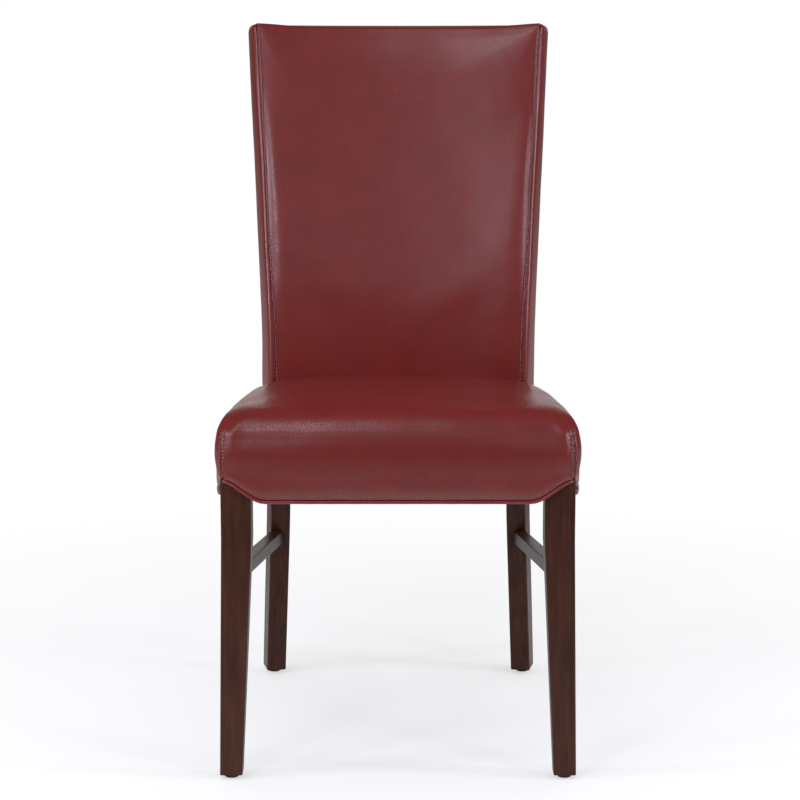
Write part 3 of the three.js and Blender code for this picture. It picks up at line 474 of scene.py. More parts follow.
# %% Read the seat's sizes
seat_low, seat_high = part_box("seat_cover")
front_y = seat_low.y
seat_half_width = seat_high.x
leg_splay = 0.0054
leg_face = -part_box("front_leg_left")[0].x - leg_splay
leg_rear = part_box("front_leg_left")[1].y - front_y
post_front = 0.440
seat_rear_half = 0.199
hem_drop = 0.003
lower_edge = seat_low.z - hem_drop
tail_end = seat_high.y - front_y

def at(points):
    places = np.array(points, float)
    places[..., 1] += front_y
    return places

def frame_half(depth):
    share = np.clip((depth - leg_rear) / (post_front - leg_rear), 0, 1)
    return leg_face - (leg_face - seat_rear_half) * share ** 2

def seat_half(depth):
    return frame_half(depth) + (seat_half_width - leg_face)

print("seat: half width", round(seat_half_width, 4), "lower edge", round(lower_edge, 4))
print("its tail ends", round(tail_end, 4), "behind its front")

# %% [markdown]
# ## Drawing a section and sweeping it
# A sewn seat is easiest to build as nested rings: each ring is the outline of the seat at one height, and the
# section says how far in and how high each ring lies. `flowing_line` draws the section smoothly through a few
# measured points, and `points_along` picks places on it at chosen spacings, close together where detail is.

# %% Helpers for smooth sections
def flowing_line(points, samples=24):
    knots = np.array(points, float)
    chord = np.r_[0, np.cumsum(np.linalg.norm(np.diff(knots, axis=0), axis=1))]
    slopes = np.gradient(knots, chord, axis=0)
    pieces = []
    for k in range(len(knots) - 1):
        t = np.linspace(0, 1, samples, endpoint=k == len(knots) - 2)[:, None]
        length = chord[k + 1] - chord[k]
        pieces.append((2 * t**3 - 3 * t**2 + 1) * knots[k] + (t**3 - 2 * t**2 + t) * length * slopes[k]
                      + (3 * t**2 - 2 * t**3) * knots[k + 1] + (t**3 - t**2) * length * slopes[k + 1])
    return np.vstack(pieces)

def length_along(line):
    return np.r_[0, np.cumsum(np.linalg.norm(np.diff(line, axis=0), axis=-1))]

def points_along(line, places):
    run = length_along(line)
    return np.stack([np.interp(places, run, line[:, k]) for k in range(line.shape[1])], axis=1)

def stepped(*stretches):
    places = [0.0]
    for end, step in stretches:
        count = max(1, round((end - places[-1]) / step))
        places.extend(np.linspace(places[-1], end, count + 1)[1:])
    return np.array(places)

def ease(share):
    share = np.clip(share, 0, 1)
    return share * share * (3 - 2 * share)

def bell(distance, width):
    return np.exp(-((distance / width) ** 2))

print("section helpers ready")

# %% Helpers that turn rings into a mesh
def ring_faces(rows, columns):
    faces = [(r * columns + c, r * columns + c + 1, (r + 1) * columns + c + 1, (r + 1) * columns + c)
             for r in range(rows - 1) for c in range(columns - 1)]
    last = (rows - 1) * columns
    for c in range(columns // 2):
        corners = (last + c, last + c + 1, last + columns - 2 - c, last + columns - 1 - c)
        faces.append(tuple(dict.fromkeys(corners)))
    return [face for face in faces if len(face) > 2]

def new_piece(name, points, faces, finish):
    mesh = bpy.data.meshes.new(name)
    mesh.from_pydata(np.reshape(points, (-1, 3)).tolist(), [], faces)
    mesh.materials.append(finish)
    mesh.polygons.foreach_set("use_smooth", [True] * len(mesh.polygons))
    mesh.update()
    piece = bpy.data.objects.new(name, mesh)
    bpy.context.scene.collection.objects.link(piece)
    return piece

def leather_sheet(name, rings, finish, masks=()):
    piece = new_piece(name, rings, ring_faces(*rings.shape[:2]), finish)
    for label, values in masks:
        piece.data.attributes.new(label, "FLOAT", "POINT").data.foreach_set("value", np.ravel(values))
    middle = Vector(rings.mean((0, 1)))
    if sum(face.area * face.normal.dot(face.center - middle) for face in piece.data.polygons) < 0:
        piece.data.flip_normals()
    return piece

print("mesh helpers ready")

# %% [markdown]
# ## Letting the leather swell
# Foam and batting push the leather outwards between its seams. Blender's Cloth does that on a copy of the
# sheet with every second point: it is held at its sewn edges, air pressure stands for the foam, and twenty
# frames are enough. How far a point may move is capped, so the chair keeps its measured size. The movement is
# made alike on both sides, smoothed and spread over the fine sheet, because a fine cloth would crumple and
# take minutes.

# %% Swell a sheet with cloth
settling_frames, smoothing_passes = 20, 20

def read_points(mesh):
    flat = np.empty(len(mesh.vertices) * 3)
    mesh.vertices.foreach_get("co", flat)
    return flat.reshape(-1, 3)

def write_points(mesh, places):
    mesh.vertices.foreach_set("co", np.ravel(places))
    mesh.update()

def settle_cloth(piece, held, pressure):
    pins = piece.vertex_groups.new(name="sewn")
    for k in np.flatnonzero(held):
        pins.add([int(k)], 1.0, "REPLACE")
    settings = piece.modifiers.new("swelling", "CLOTH").settings
    settings.quality, settings.mass, settings.vertex_group_mass = 5, 0.4, "sewn"
    settings.tension_stiffness, settings.compression_stiffness = 25, 25
    settings.shear_stiffness, settings.bending_stiffness = 12, 3
    settings.use_pressure, settings.uniform_pressure_force = True, pressure
    settings.effector_weights.gravity = 0
    for number in range(1, settling_frames + 1):
        bpy.context.scene.frame_set(number)
    places = read_points(piece.evaluated_get(bpy.context.evaluated_depsgraph_get()).data)
    bpy.context.scene.frame_set(1)
    return places

def smoothed(field, passes):
    for _ in range(passes):
        around = field[:-2, 1:-1] + field[2:, 1:-1] + field[1:-1, :-2] + field[1:-1, 2:]
        field[1:-1, 1:-1] = 0.5 * field[1:-1, 1:-1] + 0.125 * around
    return field

def stretched(field, fine_rows, fine_columns, rows, columns):
    down = np.array([[np.interp(fine_rows, rows, field[:, c, k]) for c in range(len(columns))]
                     for k in range(3)])
    across = np.array([[np.interp(fine_columns, columns, down[k, :, r]) for r in range(len(fine_rows))]
                       for k in range(3)])
    return np.moveaxis(across, 0, -1)

def swell(rings, held, pressure, cap):
    rows = np.unique(np.r_[np.arange(0, len(rings), 2), len(rings) - 1])
    columns = np.unique(np.r_[np.arange(0, rings.shape[1], 2), rings.shape[1] - 1])
    coarse = rings[np.ix_(rows, columns)]
    copy = leather_sheet("coarse_copy", at(coarse), foam)
    moved = settle_cloth(copy, held[np.ix_(rows, columns)].ravel(), pressure) - read_points(copy.data)
    bpy.data.objects.remove(copy)
    distance = np.linalg.norm(moved, axis=1, keepdims=True)
    moved *= cap * np.tanh(distance / cap) / np.maximum(distance, 1e-9)
    field = moved.reshape(coarse.shape)
    field = (field + field[:, ::-1] * (-1, 1, 1)) / 2
    across_middle = np.concatenate([field, field[-1:0:-1] * (-1, 1, 1)])
    field = smoothed(across_middle, smoothing_passes)[:len(rows)]
    return stretched(field, np.arange(len(rings)), np.arange(rings.shape[1]), rows, columns)

def subdivide(piece, levels=1):
    modifier = piece.modifiers.new("smoothing", "SUBSURF")
    modifier.levels = modifier.render_levels = levels
    modifier.boundary_smooth = "PRESERVE_CORNERS"
    fine = piece.evaluated_get(bpy.context.evaluated_depsgraph_get())
    coarse, piece.data = piece.data, bpy.data.meshes.new_from_object(fine)
    piece.modifiers.clear()
    bpy.data.meshes.remove(coarse)
    piece.data.name = piece.name

def mask_of(piece, label):
    values = np.empty(len(piece.data.vertices))
    piece.data.attributes[label].data.foreach_get("value", values)
    return values

def set_mask(piece, label, values):
    layer = piece.data.attributes.get(label) or piece.data.attributes.new(label, "FLOAT", "POINT")
    layer.data.foreach_set("value", values)

def push_out(piece, amounts):
    normals = np.empty(len(piece.data.vertices) * 3)
    piece.data.vertex_normals.foreach_get("vector", normals)
    write_points(piece.data, read_points(piece.data) + normals.reshape(-1, 3) * amounts[:, None])

def undulation(places, size, seed):
    return np.array([noise.noise(Vector(p) / size + Vector((seed, seed, seed))) for p in places.tolist()])

print("cloth helpers ready; quick look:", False)

# %% [markdown]
# ## The back's curve
# The two posts are turned and raked, so the back between them is part of a cone: flat slats would not fit it.
# `on_back` places a point by its distance round the curve, its distance behind the front of the posts, and
# its height. The seat needs it too, because its leather dives into the crease in front of the back.

# %% Map a point onto the curved back
post_turn = math.radians(13)
post_corner = 0.191
cover_past_post = 0.0042
rake_start, rake_blend, rake_slope = 0.470, 0.150, math.tan(math.radians(14.7))
back_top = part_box("back_cover_front")[1].z

def rake(height):
    above = np.maximum(np.asarray(height, float) - rake_start, 0)
    return np.where(above < rake_blend, rake_slope * above**2 / (2 * rake_blend),
                    rake_slope * (above - rake_blend / 2))

def back_radius(height):
    return (post_corner + rake(height) * math.sin(post_turn)) / math.sin(post_turn)

def back_half(height):
    return back_radius(height) * post_turn + cover_past_post

def post_depth(height):
    return np.interp(height, [0.470, 0.984], [0.043, 0.032])

def on_back(around, behind, height):
    radius = back_radius(height)
    angle = around / radius
    middle = post_front + (rake(height) - radius) * math.cos(post_turn)
    reach = radius + behind
    return np.stack([reach * np.sin(angle), middle + reach * np.cos(angle), height + 0 * angle], axis=-1)

def back_front_depth(x, height, ahead):
    reach = back_radius(height) - ahead
    sideways = np.clip(x / reach, -0.999, 0.999)
    middle = post_front + (rake(height) - back_radius(height)) * math.cos(post_turn)
    return middle + reach * np.sqrt(1 - sideways**2)

half_at_seat, half_at_top = (round(float(back_half(height)), 4) for height in (0.48, 0.98))
print("back: half width at the seat", half_at_seat, "at the top", half_at_top)

# %% [markdown]
# ## The seat's leather
# The cover is a crowned top panel that rolls over a padded edge into a boxing round the front and sides. Its
# lower edge is cut in an arch over each front leg and turned under. The rings run from that hem up the
# boxing, over the roll and across the crown. On the top, the rear ends of the rings dive into the crease in
# front of the back.

# %% Outline of one ring of the seat
front_steps, corner_steps = 36, 20
side_shares = stepped((0.8, 0.017), (1.0, 0.0065))

nose_insets = [0.0009, 0.0019, 0.0034, 0.0050, 0.0080, 0.0110, 0.022, 0.0619, 0.119]
nose_extra = [0.0, 0.0003, 0.0020, 0.0042, 0.0066, 0.0080, 0.0080, 0.003, 0.0]

def seat_outline(inset, corner, share=0.0, on_roll=False):
    def half_at(depth):
        return (seat_half(depth) - inset) * (1 - share)
    near = inset + share * (seat_half_width - inset)
    near += float(np.interp(inset, nose_insets, nose_extra)) if on_roll else 0.0
    corner = min(corner, 0.95 * half_at(near + corner))
    start = near + corner
    across = np.linspace(0, half_at(start) - corner, front_steps + 1)[:-1]
    front = np.column_stack([across, np.full(front_steps, near)])
    angles = np.linspace(math.pi / 2, 0, corner_steps + 1)
    arc = np.column_stack([half_at(start) - corner + corner * np.cos(angles),
                           start - corner * np.sin(angles)])
    depths = start + side_shares[1:] * (tail_end - start)
    side = np.column_stack([half_at(depths), depths])
    right = np.vstack([front, arc, side])
    left = right[1:][::-1] * (-1, 1)
    return np.vstack([left, right])

seat_columns = len(seat_outline(0, 0.022))
seam_turn = 35
corner_column = seat_columns // 2 + front_steps + corner_steps * seam_turn / 90
print("columns round the seat:", seat_columns)

# %% Section and arch of the seat's leather
widest_height, crown_inset = 0.432, 0.119
seat_section = flowing_line([
    (0.0100, 0.3755), (0.0076, 0.3727), (0.0058, 0.3727), (0.0042, 0.3746), (0.0030, 0.3788),
    (0.0018, 0.4050), (0.0012, widest_height), (0.0019, 0.4502), (0.0050, 0.4690), (0.0110, 0.4800),
    (0.022, 0.4864), (0.0619, 0.4912), (crown_inset, 0.4938), (0.176, 0.495), (0.238, 0.4953)])
arch_lift, arch_reach, leg_setback = 0.027, 0.058, 0.009
tuck_depth, tuck_width, tuck_height = 0.0078, 0.021, 0.062
rim_radius, rim_growth = 0.007, 0.017
front_bow, rear_fall, arch_fade, boxing_height = 0.0042, 0.0155, 0.078, 0.118

def arch(x, depth):
    distance = np.maximum(leg_face - np.abs(x), depth - leg_setback)
    return arch_lift * ease(1 - distance / arch_reach)

def leg_tuck(plan, height):
    from_corner = np.hypot(np.abs(plan[:, 0]) - (leg_face + 0.003), plan[:, 1] - 0.006)
    low = np.clip(1 - (height - lower_edge) / tuck_height, 0, 1) ** 1.5
    amount = tuck_depth * bell(from_corner, tuck_width) * low
    return plan + np.column_stack([-np.sign(plan[:, 0]) * amount, 0.6 * amount])

def rear_shoulder(x, depth):
    return 0.0025 * ease((depth - 0.33) / 0.1) * ease((np.abs(x) - 0.14) / 0.07)

def seat_ring(inset, height):
    above_hem = height - lower_edge
    rise = min(max(above_hem / (widest_height - lower_edge), 0), 1)
    corner = rim_radius + rim_growth * rise + 1.05 * max(0, inset - 0.004)
    share = max(0, inset - crown_inset) / (seat_half_width - crown_inset) * 0.95
    plan = leg_tuck(seat_outline(min(inset, crown_inset), corner, share, height > 0.436), height)
    x, depth = plan[:, 0], plan[:, 1]
    near_front = 1 - ease((depth - 0.012) / 0.08)
    bow = ease((np.abs(x) - 0.06) / 0.15) * ease((height - 0.430) / 0.03) * near_front
    depth = depth + front_bow * bow
    fading = np.clip(1 - above_hem / arch_fade, 0, 1) ** 2
    fall = rear_fall * max(0, above_hem / boxing_height) * depth / post_front
    lowered = fall + rear_shoulder(x, depth) * rise
    return np.stack([x, depth, height - lowered + arch(x, depth) * fading], axis=1)

print("arch over a leg:", arch_lift, "high")

# %% Dive of the top leather into the crease
crease_round = 0.007

def dive(ring):
    x, depth, height = ring.T
    beside = np.abs(x) > on_back(back_half(height), -0.012, height)[:, 0] + 0.001
    wall_ahead = np.interp(height, [0.45, 0.47], [0.0197, 0.0210])
    wall = back_front_depth(x, np.clip(height, 0.456, 0.5), wall_ahead)
    over = depth - (wall - crease_round)
    turn = np.clip(over / crease_round, 0, math.pi / 2)
    straight = np.maximum(over - crease_round * math.pi / 2, 0) * 0.5
    dives = (over > 0) & ~beside & (height > 0.452)
    new_depth = np.where(dives, wall - crease_round + crease_round * np.sin(turn), depth)
    new_height = np.where(dives, height - crease_round * (1 - np.cos(turn)) - straight, height)
    return np.stack([x, new_depth, new_height], axis=1)

section_places = stepped((0.014, 0.0018), (0.125, 0.0027), (length_along(seat_section)[-1], 0.008))
section_points = points_along(seat_section, section_places)
seat_rings = np.array([dive(seat_ring(inset, height)) for inset, height in section_points])
print("rings of the seat:", len(seat_rings), "points:", len(seat_rings) * seat_columns)

# %% Distances from the corner seams
def seam_distance(rings, column):
    rows, columns = rings.shape[:2]
    distances = np.empty((rows, columns))
    for r, ring in enumerate(rings):
        run = length_along(ring)
        right = np.interp(column, np.arange(columns), run)
        left = np.interp(columns - 1 - column, np.arange(columns), run)
        distances[r] = np.where(np.arange(columns) >= columns // 2, run - right, left - run)
    return distances

corner_distance = seam_distance(seat_rings, corner_column)
ring_height = np.repeat(section_points[:, 1:2], seat_columns, axis=1)
print("corner seams at column", round(corner_column, 1))

# %% Swell the seat and press in its seams
seam_top = 0.474
stitch_pitch, stitch_gap = 0.0052, 0.0013

def seat_held(distance, height, depth):
    seam = (np.abs(distance) < 0.004) & (height < seam_top - 0.01)
    return ((height < 0.383) | seam | (depth > 0.40)).astype(float)

seat_swelling = swell(seat_rings, seat_held(corner_distance, ring_height, seat_rings[..., 1]),
                      pressure=3.0, cap=0.0025)
seat_cover = leather_sheet("seat_leather_cover", at(seat_rings + seat_swelling), seat_leather,
    masks=[("from_seam", corner_distance), ("ring_height", ring_height)])
subdivide(seat_cover)
print("seat cover faces:", len(seat_cover.data.polygons))

def stitch_wave(height):
    return np.cos(height * 2 * math.pi / stitch_pitch)

def press_corner_seams(piece):
    distance, height = mask_of(piece, "from_seam"), mask_of(piece, "ring_height")
    fade = ease((seam_top - height) / 0.018)
    groove = -0.0012 * bell(distance, 0.0011) * fade
    shoulder = 0.0006 * bell(np.abs(distance) - 0.0036, 0.0022) * fade
    pull = 0.0006 * stitch_wave(height) * bell(np.abs(distance) - 0.0034, 0.0018) * fade
    pillow = 0.0012 * bell(distance + 0.013, 0.008) * bell(height - 0.462, 0.014)
    places = read_points(piece.data)
    drift = undulation(places, 0.07, 3.1) * 0.0007 + undulation(places, 0.02, 8.7) * 0.00015
    push_out(piece, groove + shoulder + pillow + pull + drift)
    # The seam mask paints shade into the groove of each corner seam.
    set_mask(piece, "seam", bell(distance, 0.0008) * fade)

press_corner_seams(seat_cover)
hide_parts("seat_cover")
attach(seat_cover, "root")
print("seat swelled by up to", round(float(np.abs(seat_swelling).max()) * 1000, 1), "mm")

# %% [markdown]
# ## The seat's foam
# Under the leather lies a foam block with batting over it. It shows only where the cover is open, but it is
# what fills the cover, so it follows the same section 2.5 millimetres inside and closes flat over the rails.

# %% Foam block of the seat
foam_gap, foam_floor = 0.0025, 0.449

def foam_ring(inset, height):
    ring = seat_ring(inset + foam_gap, height)
    limit = back_front_depth(ring[:, 0], np.full(len(ring), 0.47), 0.0215) - foam_gap
    depth = np.minimum(ring[:, 1], np.minimum(limit, post_front - foam_gap))
    return np.stack([ring[:, 0], depth, ring[:, 2]], axis=1)

foam_places = stepped((0.05, 0.012), (0.125, 0.009), (length_along(seat_section)[-1], 0.02))
foam_section = [(i, h - foam_gap) for i, h in points_along(seat_section, foam_places) if h > 0.45]
under = [(inset, foam_floor) for inset in (0.175, 0.09, 0.03, foam_section[0][0] + 0.002)]
seat_filling = leather_sheet("seat_foam_block",
    at([foam_ring(inset, height) for inset, height in under + foam_section]), foam)
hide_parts("seat_foam")
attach(seat_filling, "root")
print("foam block faces:", len(seat_filling.data.polygons))

# %% [markdown]
# ## The corded edge
# A cord wrapped in leather is sewn along the lower edge of the seat. It is a tube that follows the edge, up
# and down over the legs. Its leather wrap puckers a little at each stitch, so the tube's radius changes
# gently along the path.

# %% Tube along a path
def tube_rings(path, radii, sides):
    along = np.gradient(path, axis=0)
    along /= np.linalg.norm(along, axis=1, keepdims=True)
    side = np.cross(np.array([0.0, 0.0, 1.0]), along)
    side /= np.maximum(np.linalg.norm(side, axis=1, keepdims=True), 1e-9)
    up = np.cross(along, side)
    turns = np.linspace(0, 2 * math.pi, sides, endpoint=False)
    return path[:, None] + radii[:, None, None] * (np.cos(turns)[None, :, None] * side[:, None]
                                                   + np.sin(turns)[None, :, None] * up[:, None])

def tube_faces(count, sides, first=0):
    rows = [[first + r * sides + c for c in range(sides)] for r in range(count)]
    faces = [(low[c], low[(c + 1) % sides], high[(c + 1) % sides], high[c])
             for low, high in zip(rows, rows[1:]) for c in range(sides)]
    return faces + [tuple(rows[0][::-1]), tuple(rows[-1])]

print("tube helpers ready")

# %% Cord under the seat cover
cord_radius, cord_sides = 0.0022, 12

def cord_path():
    plan = leg_tuck(seat_outline(0.0036, 0.007), lower_edge)
    plan = plan[plan[:, 1] < tail_end - 2 * cord_radius]
    height = lower_edge + arch(plan[:, 0], plan[:, 1]) - cord_radius + 0.0004
    line = np.column_stack([plan, height])
    run = length_along(line)
    return points_along(line, np.arange(0, run[-1], 0.0024))

cord_line = cord_path()
cord_run = length_along(cord_line)
cord_turns = cord_run * 2 * math.pi
pucker = 0.0001 * np.sin(cord_turns / stitch_pitch) + 0.00005 * np.sin(cord_turns / 0.031)
cord_rings = tube_rings(at(cord_line), cord_radius + pucker, cord_sides)
seat_cord = new_piece("seat_corded_edge", cord_rings, tube_faces(len(cord_line), cord_sides), cord_leather)
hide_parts("seat_welt")
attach(seat_cord, "root")
print("corded edge:", round(float(cord_run[-1]), 3), "m long")

# %% [markdown]
# ## The back's leather
# The front panel is stretched over the curved, raked foam and runs over the top edge to the rear. At each
# side it is joined to a boxing strip by a top-stitched seam, four to eight millimetres inside the edge. Again
# the sheet is made of nested rings, from the rear of the boxing, round the padded edge, to the middle of the
# panel. High up, the pad is flat inside the seam with a slanted roll outside it. Lower down it is rounder.

# %% Outline of one ring of the back
back_bottom = 0.457
panel_level, panel_middle = 0.15, 0.23
up_steps, arc_steps, top_steps = 196, 16, 38

def top_dip(around, height):
    share = np.clip(1 - np.abs(around) / back_half(back_top), 0, 1)
    level = ease(share * 2.2)
    corner_lift = np.where(around < 0, 0.0004, 0.0)
    depth_below = np.exp(-(back_top - height) / 0.05)
    return (-0.0034 * level + corner_lift * (1 - level)) * depth_below

def back_outline(inset, corner, share, bottom):
    top = back_top - inset - share * 0.06
    start = top - corner
    heights = np.linspace(bottom, start, up_steps + 1)
    side = np.column_stack([(back_half(heights) - inset) * (1 - share), heights])
    half = side[-1, 0] - min(corner, side[-1, 0] * 0.9)
    reach = side[-1, 0] - half
    turns = np.linspace(0, math.pi / 2, arc_steps + 1)[1:]
    arc = np.column_stack([half + reach * np.cos(turns), start + corner * np.sin(turns)])
    across = np.column_stack([half * (1 - np.linspace(0, 1, top_steps + 1)[1:]), np.full(top_steps, top)])
    right = np.vstack([side, arc, across])
    left = right[:-1][::-1] * (-1, 1)
    return np.vstack([right, left])

def back_ring(inset, behind, bottom, corner_start=0.0105, shoulder=0.0):
    share = max(0, inset - panel_level) / (panel_middle - panel_level) * 0.94
    inset = min(inset, panel_level)
    plan = back_outline(inset, corner_start + 0.8 * max(0, inset - 0.011), share, bottom)
    around, height = plan[:, 0], plan[:, 1]
    near_side = ease((np.abs(around) - back_half(back_top) + 0.014) / 0.006)
    lifted = height + top_dip(around, height) - shoulder * near_side * np.exp(-(back_top - height) / 0.05)
    return on_back(around, behind(height), lifted), around, height

print("columns round the back:", len(back_outline(0, 0.013, 0, back_bottom)))

# %% Rings of the back's front leather
boxing_front = 0.0020

def rear_face(height):
    return post_depth(height) + 0.0043

back_section = flowing_line([
    (0.0, 0.0020), (0.0006, 0.0080), (0.0020, 0.0124), (0.0043, 0.0156), (0.0077, 0.0178), (0.0122, 0.0193),
    (0.0185, 0.0203), (0.028, 0.0210), (0.048, 0.0214), (0.09, 0.0213), (0.15, 0.0208), (0.23, 0.0205)])
edge_reach = 0.07
top_edge = np.array([
    (0.0, 0.0110), (0.0012, 0.0133), (0.0035, 0.0145), (0.0068, 0.0149), (0.012, 0.0154), (0.018, 0.0162),
    (0.03, 0.0177), (0.048, 0.0198), (edge_reach, 0.0213)])
high_edge = np.array([
    (0.0, 0.0020), (0.0001, 0.0075), (0.0006, 0.0098), (0.0016, 0.0110), (0.0030, 0.0123), (0.0045, 0.0135),
    (0.0057, 0.0142), (0.0068, 0.0146), (0.0085, 0.0149), (0.012, 0.0153), (0.018, 0.0161), (0.03, 0.0177),
    (0.048, 0.0198), (edge_reach, 0.0213)])
boxing_rings = [(0.0, share) for share in np.linspace(1, 0, 15)[:-1]]
panel_places = stepped((0.047, 0.0017), (edge_reach, 0.004), (length_along(back_section)[-1], 0.0068))
panel_rings = points_along(back_section, panel_places)

def boxing_depth(share):
    return lambda height: -boxing_front + (rear_face(height) + boxing_front) * share

def panel_depth(inset, ahead):
    ring_top = back_top - min(inset, panel_level)
    at_top = np.interp(inset, *top_edge.T) if inset < edge_reach else ahead
    tighter = np.interp(inset, *high_edge.T) if inset < edge_reach else ahead
    def behind(height):
        high = ease((height - 0.78) / 0.14)
        near_top = ease((height - ring_top + 0.016) / 0.016)
        side = ahead + (tighter - ahead) * high
        return -(side + (at_top - side) * near_top)
    return behind

made_rings = [back_ring(inset, boxing_depth(share), back_bottom, corner_start=0.007 + 0.0045 * share,
                        shoulder=0.0026 * ease(share * 5)) for inset, share in boxing_rings]
made_rings += [back_ring(inset, panel_depth(inset, ahead), back_bottom, corner_start=0.007)
               for inset, ahead in panel_rings]
back_rings, back_around, back_height = (np.array(part) for part in zip(*made_rings))
print("rings of the back:", len(back_rings), "points:", back_around.size)

# %% Where the side seams run
def seam_inset(height):
    return np.interp(height, [0.50, 0.55, 0.60, 0.66, 0.74, 0.82, 0.90, 0.96, 0.98, 1.0],
                     [0.0076, 0.0070, 0.0054, 0.0044, 0.0042, 0.0050, 0.0060, 0.0062, 0.0058, 0.0044])

def side_seam_distance(around, height):
    return (back_half(height) - np.abs(around)) - seam_inset(height)

side_distance = side_seam_distance(back_around, back_height)
print("side seams lie", round(float(seam_inset(0.6)) * 1000, 1), "mm inside the edge at the middle")

# %% Swell the back and press in its seams
def back_held(distance, height):
    rows = np.arange(len(distance))[:, None]
    return ((rows < 2) | (np.abs(distance) < 0.0026) | (height < 0.462)).astype(float)

back_swelling = swell(back_rings, back_held(side_distance, back_height), pressure=2.5, cap=0.0022)
back_cover = leather_sheet("back_leather_front", at(back_rings + back_swelling), back_leather,
    masks=[("around", back_around), ("height_up", back_height)])
subdivide(back_cover)
print("back cover faces:", len(back_cover.data.polygons))

side_stitch_offset = 0.0022

def press_side_seams(piece):
    around, height = mask_of(piece, "around"), mask_of(piece, "height_up")
    distance = side_seam_distance(around, height)
    front = ease((back_half(height) - np.abs(around)) / 0.004)
    groove = -0.0012 * bell(distance, 0.0009) * front
    ridges = (0.0005 * bell(distance - 0.0020, 0.0010) + 0.0004 * bell(distance + 0.0026, 0.0016)) * front
    notch = -0.0012 * bell(distance, 0.0022) * ease((height - 0.984) / 0.012)
    pull = 0.0004 * stitch_wave(height) * bell(distance - side_stitch_offset, 0.0015) * front
    places = read_points(piece.data)
    drift = undulation(places, 0.09, 5.3) * 0.0008 + undulation(places, 0.025, 2.2) * 0.00015
    dip_reach = np.where(distance > 0, 0.008 + 0.017 * ease((0.86 - height) / 0.34), 0.005)
    dip_depth = 0.0030 + 0.0014 * ease((0.75 - height) / 0.2)
    dip = -dip_depth * bell(distance, dip_reach) * front * ease((0.94 - height) / 0.16)
    push_out(piece, groove + ridges + notch + dip + pull + drift)
    # Painted shade: the seam mask darkens the groove and the stitch holes.
    stitch_hole_shade = bell(distance - side_stitch_offset, 0.0013) * np.clip(-stitch_wave(height), 0, 1) ** 2
    set_mask(piece, "seam", np.maximum(bell(distance, 0.0010), stitch_hole_shade) * front)

press_side_seams(back_cover)
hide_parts("back_cover_front")
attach(back_cover, "root")
print("back swelled by up to", round(float(np.abs(back_swelling).max()) * 1000, 1), "mm")

# %% [markdown]
# ## The back's foam and rear leather
# The foam of the back follows the front panel from inside. The rear is closed by a leather panel over the
# hardboard, tacked blind along its edges, so it shows a soft rounded rim and a narrow gap to the boxing. It
# reaches down over the rear seat rail.

# %% Foam of the back
def back_foam_ring(inset, ahead):
    return back_ring(inset, lambda height: -ahead + 0 * height, back_bottom + 0.004)[0]

foam_profile = [
    (0.16, 0.0006), (0.08, 0.0006), (0.02, 0.0006), (0.0075, 0.001), (0.0085, 0.006), (0.0120, 0.0105),
    (0.0180, 0.0135), (0.028, 0.0155), (0.045, 0.0165), (0.07, 0.0170), (0.1, 0.0172), (0.15, 0.0171),
    (0.2, 0.0170)]
back_filling = leather_sheet("back_foam_pad",
    at([back_foam_ring(inset, ahead) for inset, ahead in foam_profile]), foam)
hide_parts("back_foam")
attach(back_filling, "root")
print("back foam faces:", len(back_filling.data.polygons))

# %% Rear leather panel
rear_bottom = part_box("back_cover_rear")[0].z
rear_profile = [
    (0.0035, 0.0008), (0.0012, 0.0006), (0.0004, 0.0013), (0.001, 0.0024), (0.003, 0.0031), (0.008, 0.0035),
    (0.02, 0.0039), (0.04, 0.0042), (0.07, 0.0044), (0.11, 0.0045), (0.15, 0.0045), (0.18, 0.0045),
    (0.22, 0.0045)]

def rear_ring(inset, out):
    return back_ring(inset, lambda height: rear_face(height) + out, rear_bottom + 0.0008)[0]

rear_cover = leather_sheet("back_leather_rear", at([rear_ring(inset, out) for inset, out in rear_profile]),
                           back_leather)
subdivide(rear_cover)
rear_places = read_points(rear_cover.data)
push_out(rear_cover, undulation(rear_places, 0.1, 7.7) * 0.0006)
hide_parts("back_cover_rear")
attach(rear_cover, "root")
print("rear cover faces:", len(rear_cover.data.polygons))

# %% [markdown]
# ## Stitches
# Each stitch is a short length of thread that rises from one hole and sinks into the next, so it is a small
# curved capsule. Rows of them are laid on the finished leather: the predicted line is pulled onto the surface
# with a closest-point search, so no stitch floats or drowns.

# %% Lay a row of stitches on the leather
def surface_of(piece):
    points = [v.co.copy() for v in piece.data.vertices]
    return BVHTree.FromPolygons(points, [tuple(f.vertices) for f in piece.data.polygons])

def stitch_shape(start, end, normal, thickness):
    shares = np.array([0.0, 0.12, 0.35, 0.65, 0.88, 1.0])
    lifts = np.array([-0.5, 0.25, 0.6, 0.6, 0.25, -0.5]) * thickness
    radii = np.array([0.35, 0.8, 1.0, 1.0, 0.8, 0.35]) * thickness / 2
    path = start + (end - start) * shares[:, None] + normal * lifts[:, None]
    return tube_rings(path, radii, 6)

def stitch_row(surface, line, thickness):
    run = length_along(line)
    starts = np.arange(0, run[-1] - stitch_pitch, stitch_pitch)
    stitches = []
    for begin, finish in zip(starts + stitch_gap / 2, starts + stitch_pitch - stitch_gap / 2):
        ends = points_along(line, [begin, finish])
        hits = [surface.find_nearest(Vector(p)) for p in ends]
        normal = (hits[0][1] + hits[1][1]).normalized()
        stitches.append(stitch_shape(np.array(hits[0][0]), np.array(hits[1][0]), np.array(normal), thickness))
    return stitches

def sew(name, stitches):
    rings = np.array(stitches)
    count, rows, sides = rings.shape[:3]
    faces = [face for k in range(count) for face in tube_faces(rows, sides, k * rows * sides)]
    piece = new_piece(name, rings, faces, waxed_thread)
    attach(piece, "root")
    print(name, "stitches:", count)

back_surface = surface_of(back_cover)
seat_surface = surface_of(seat_cover)

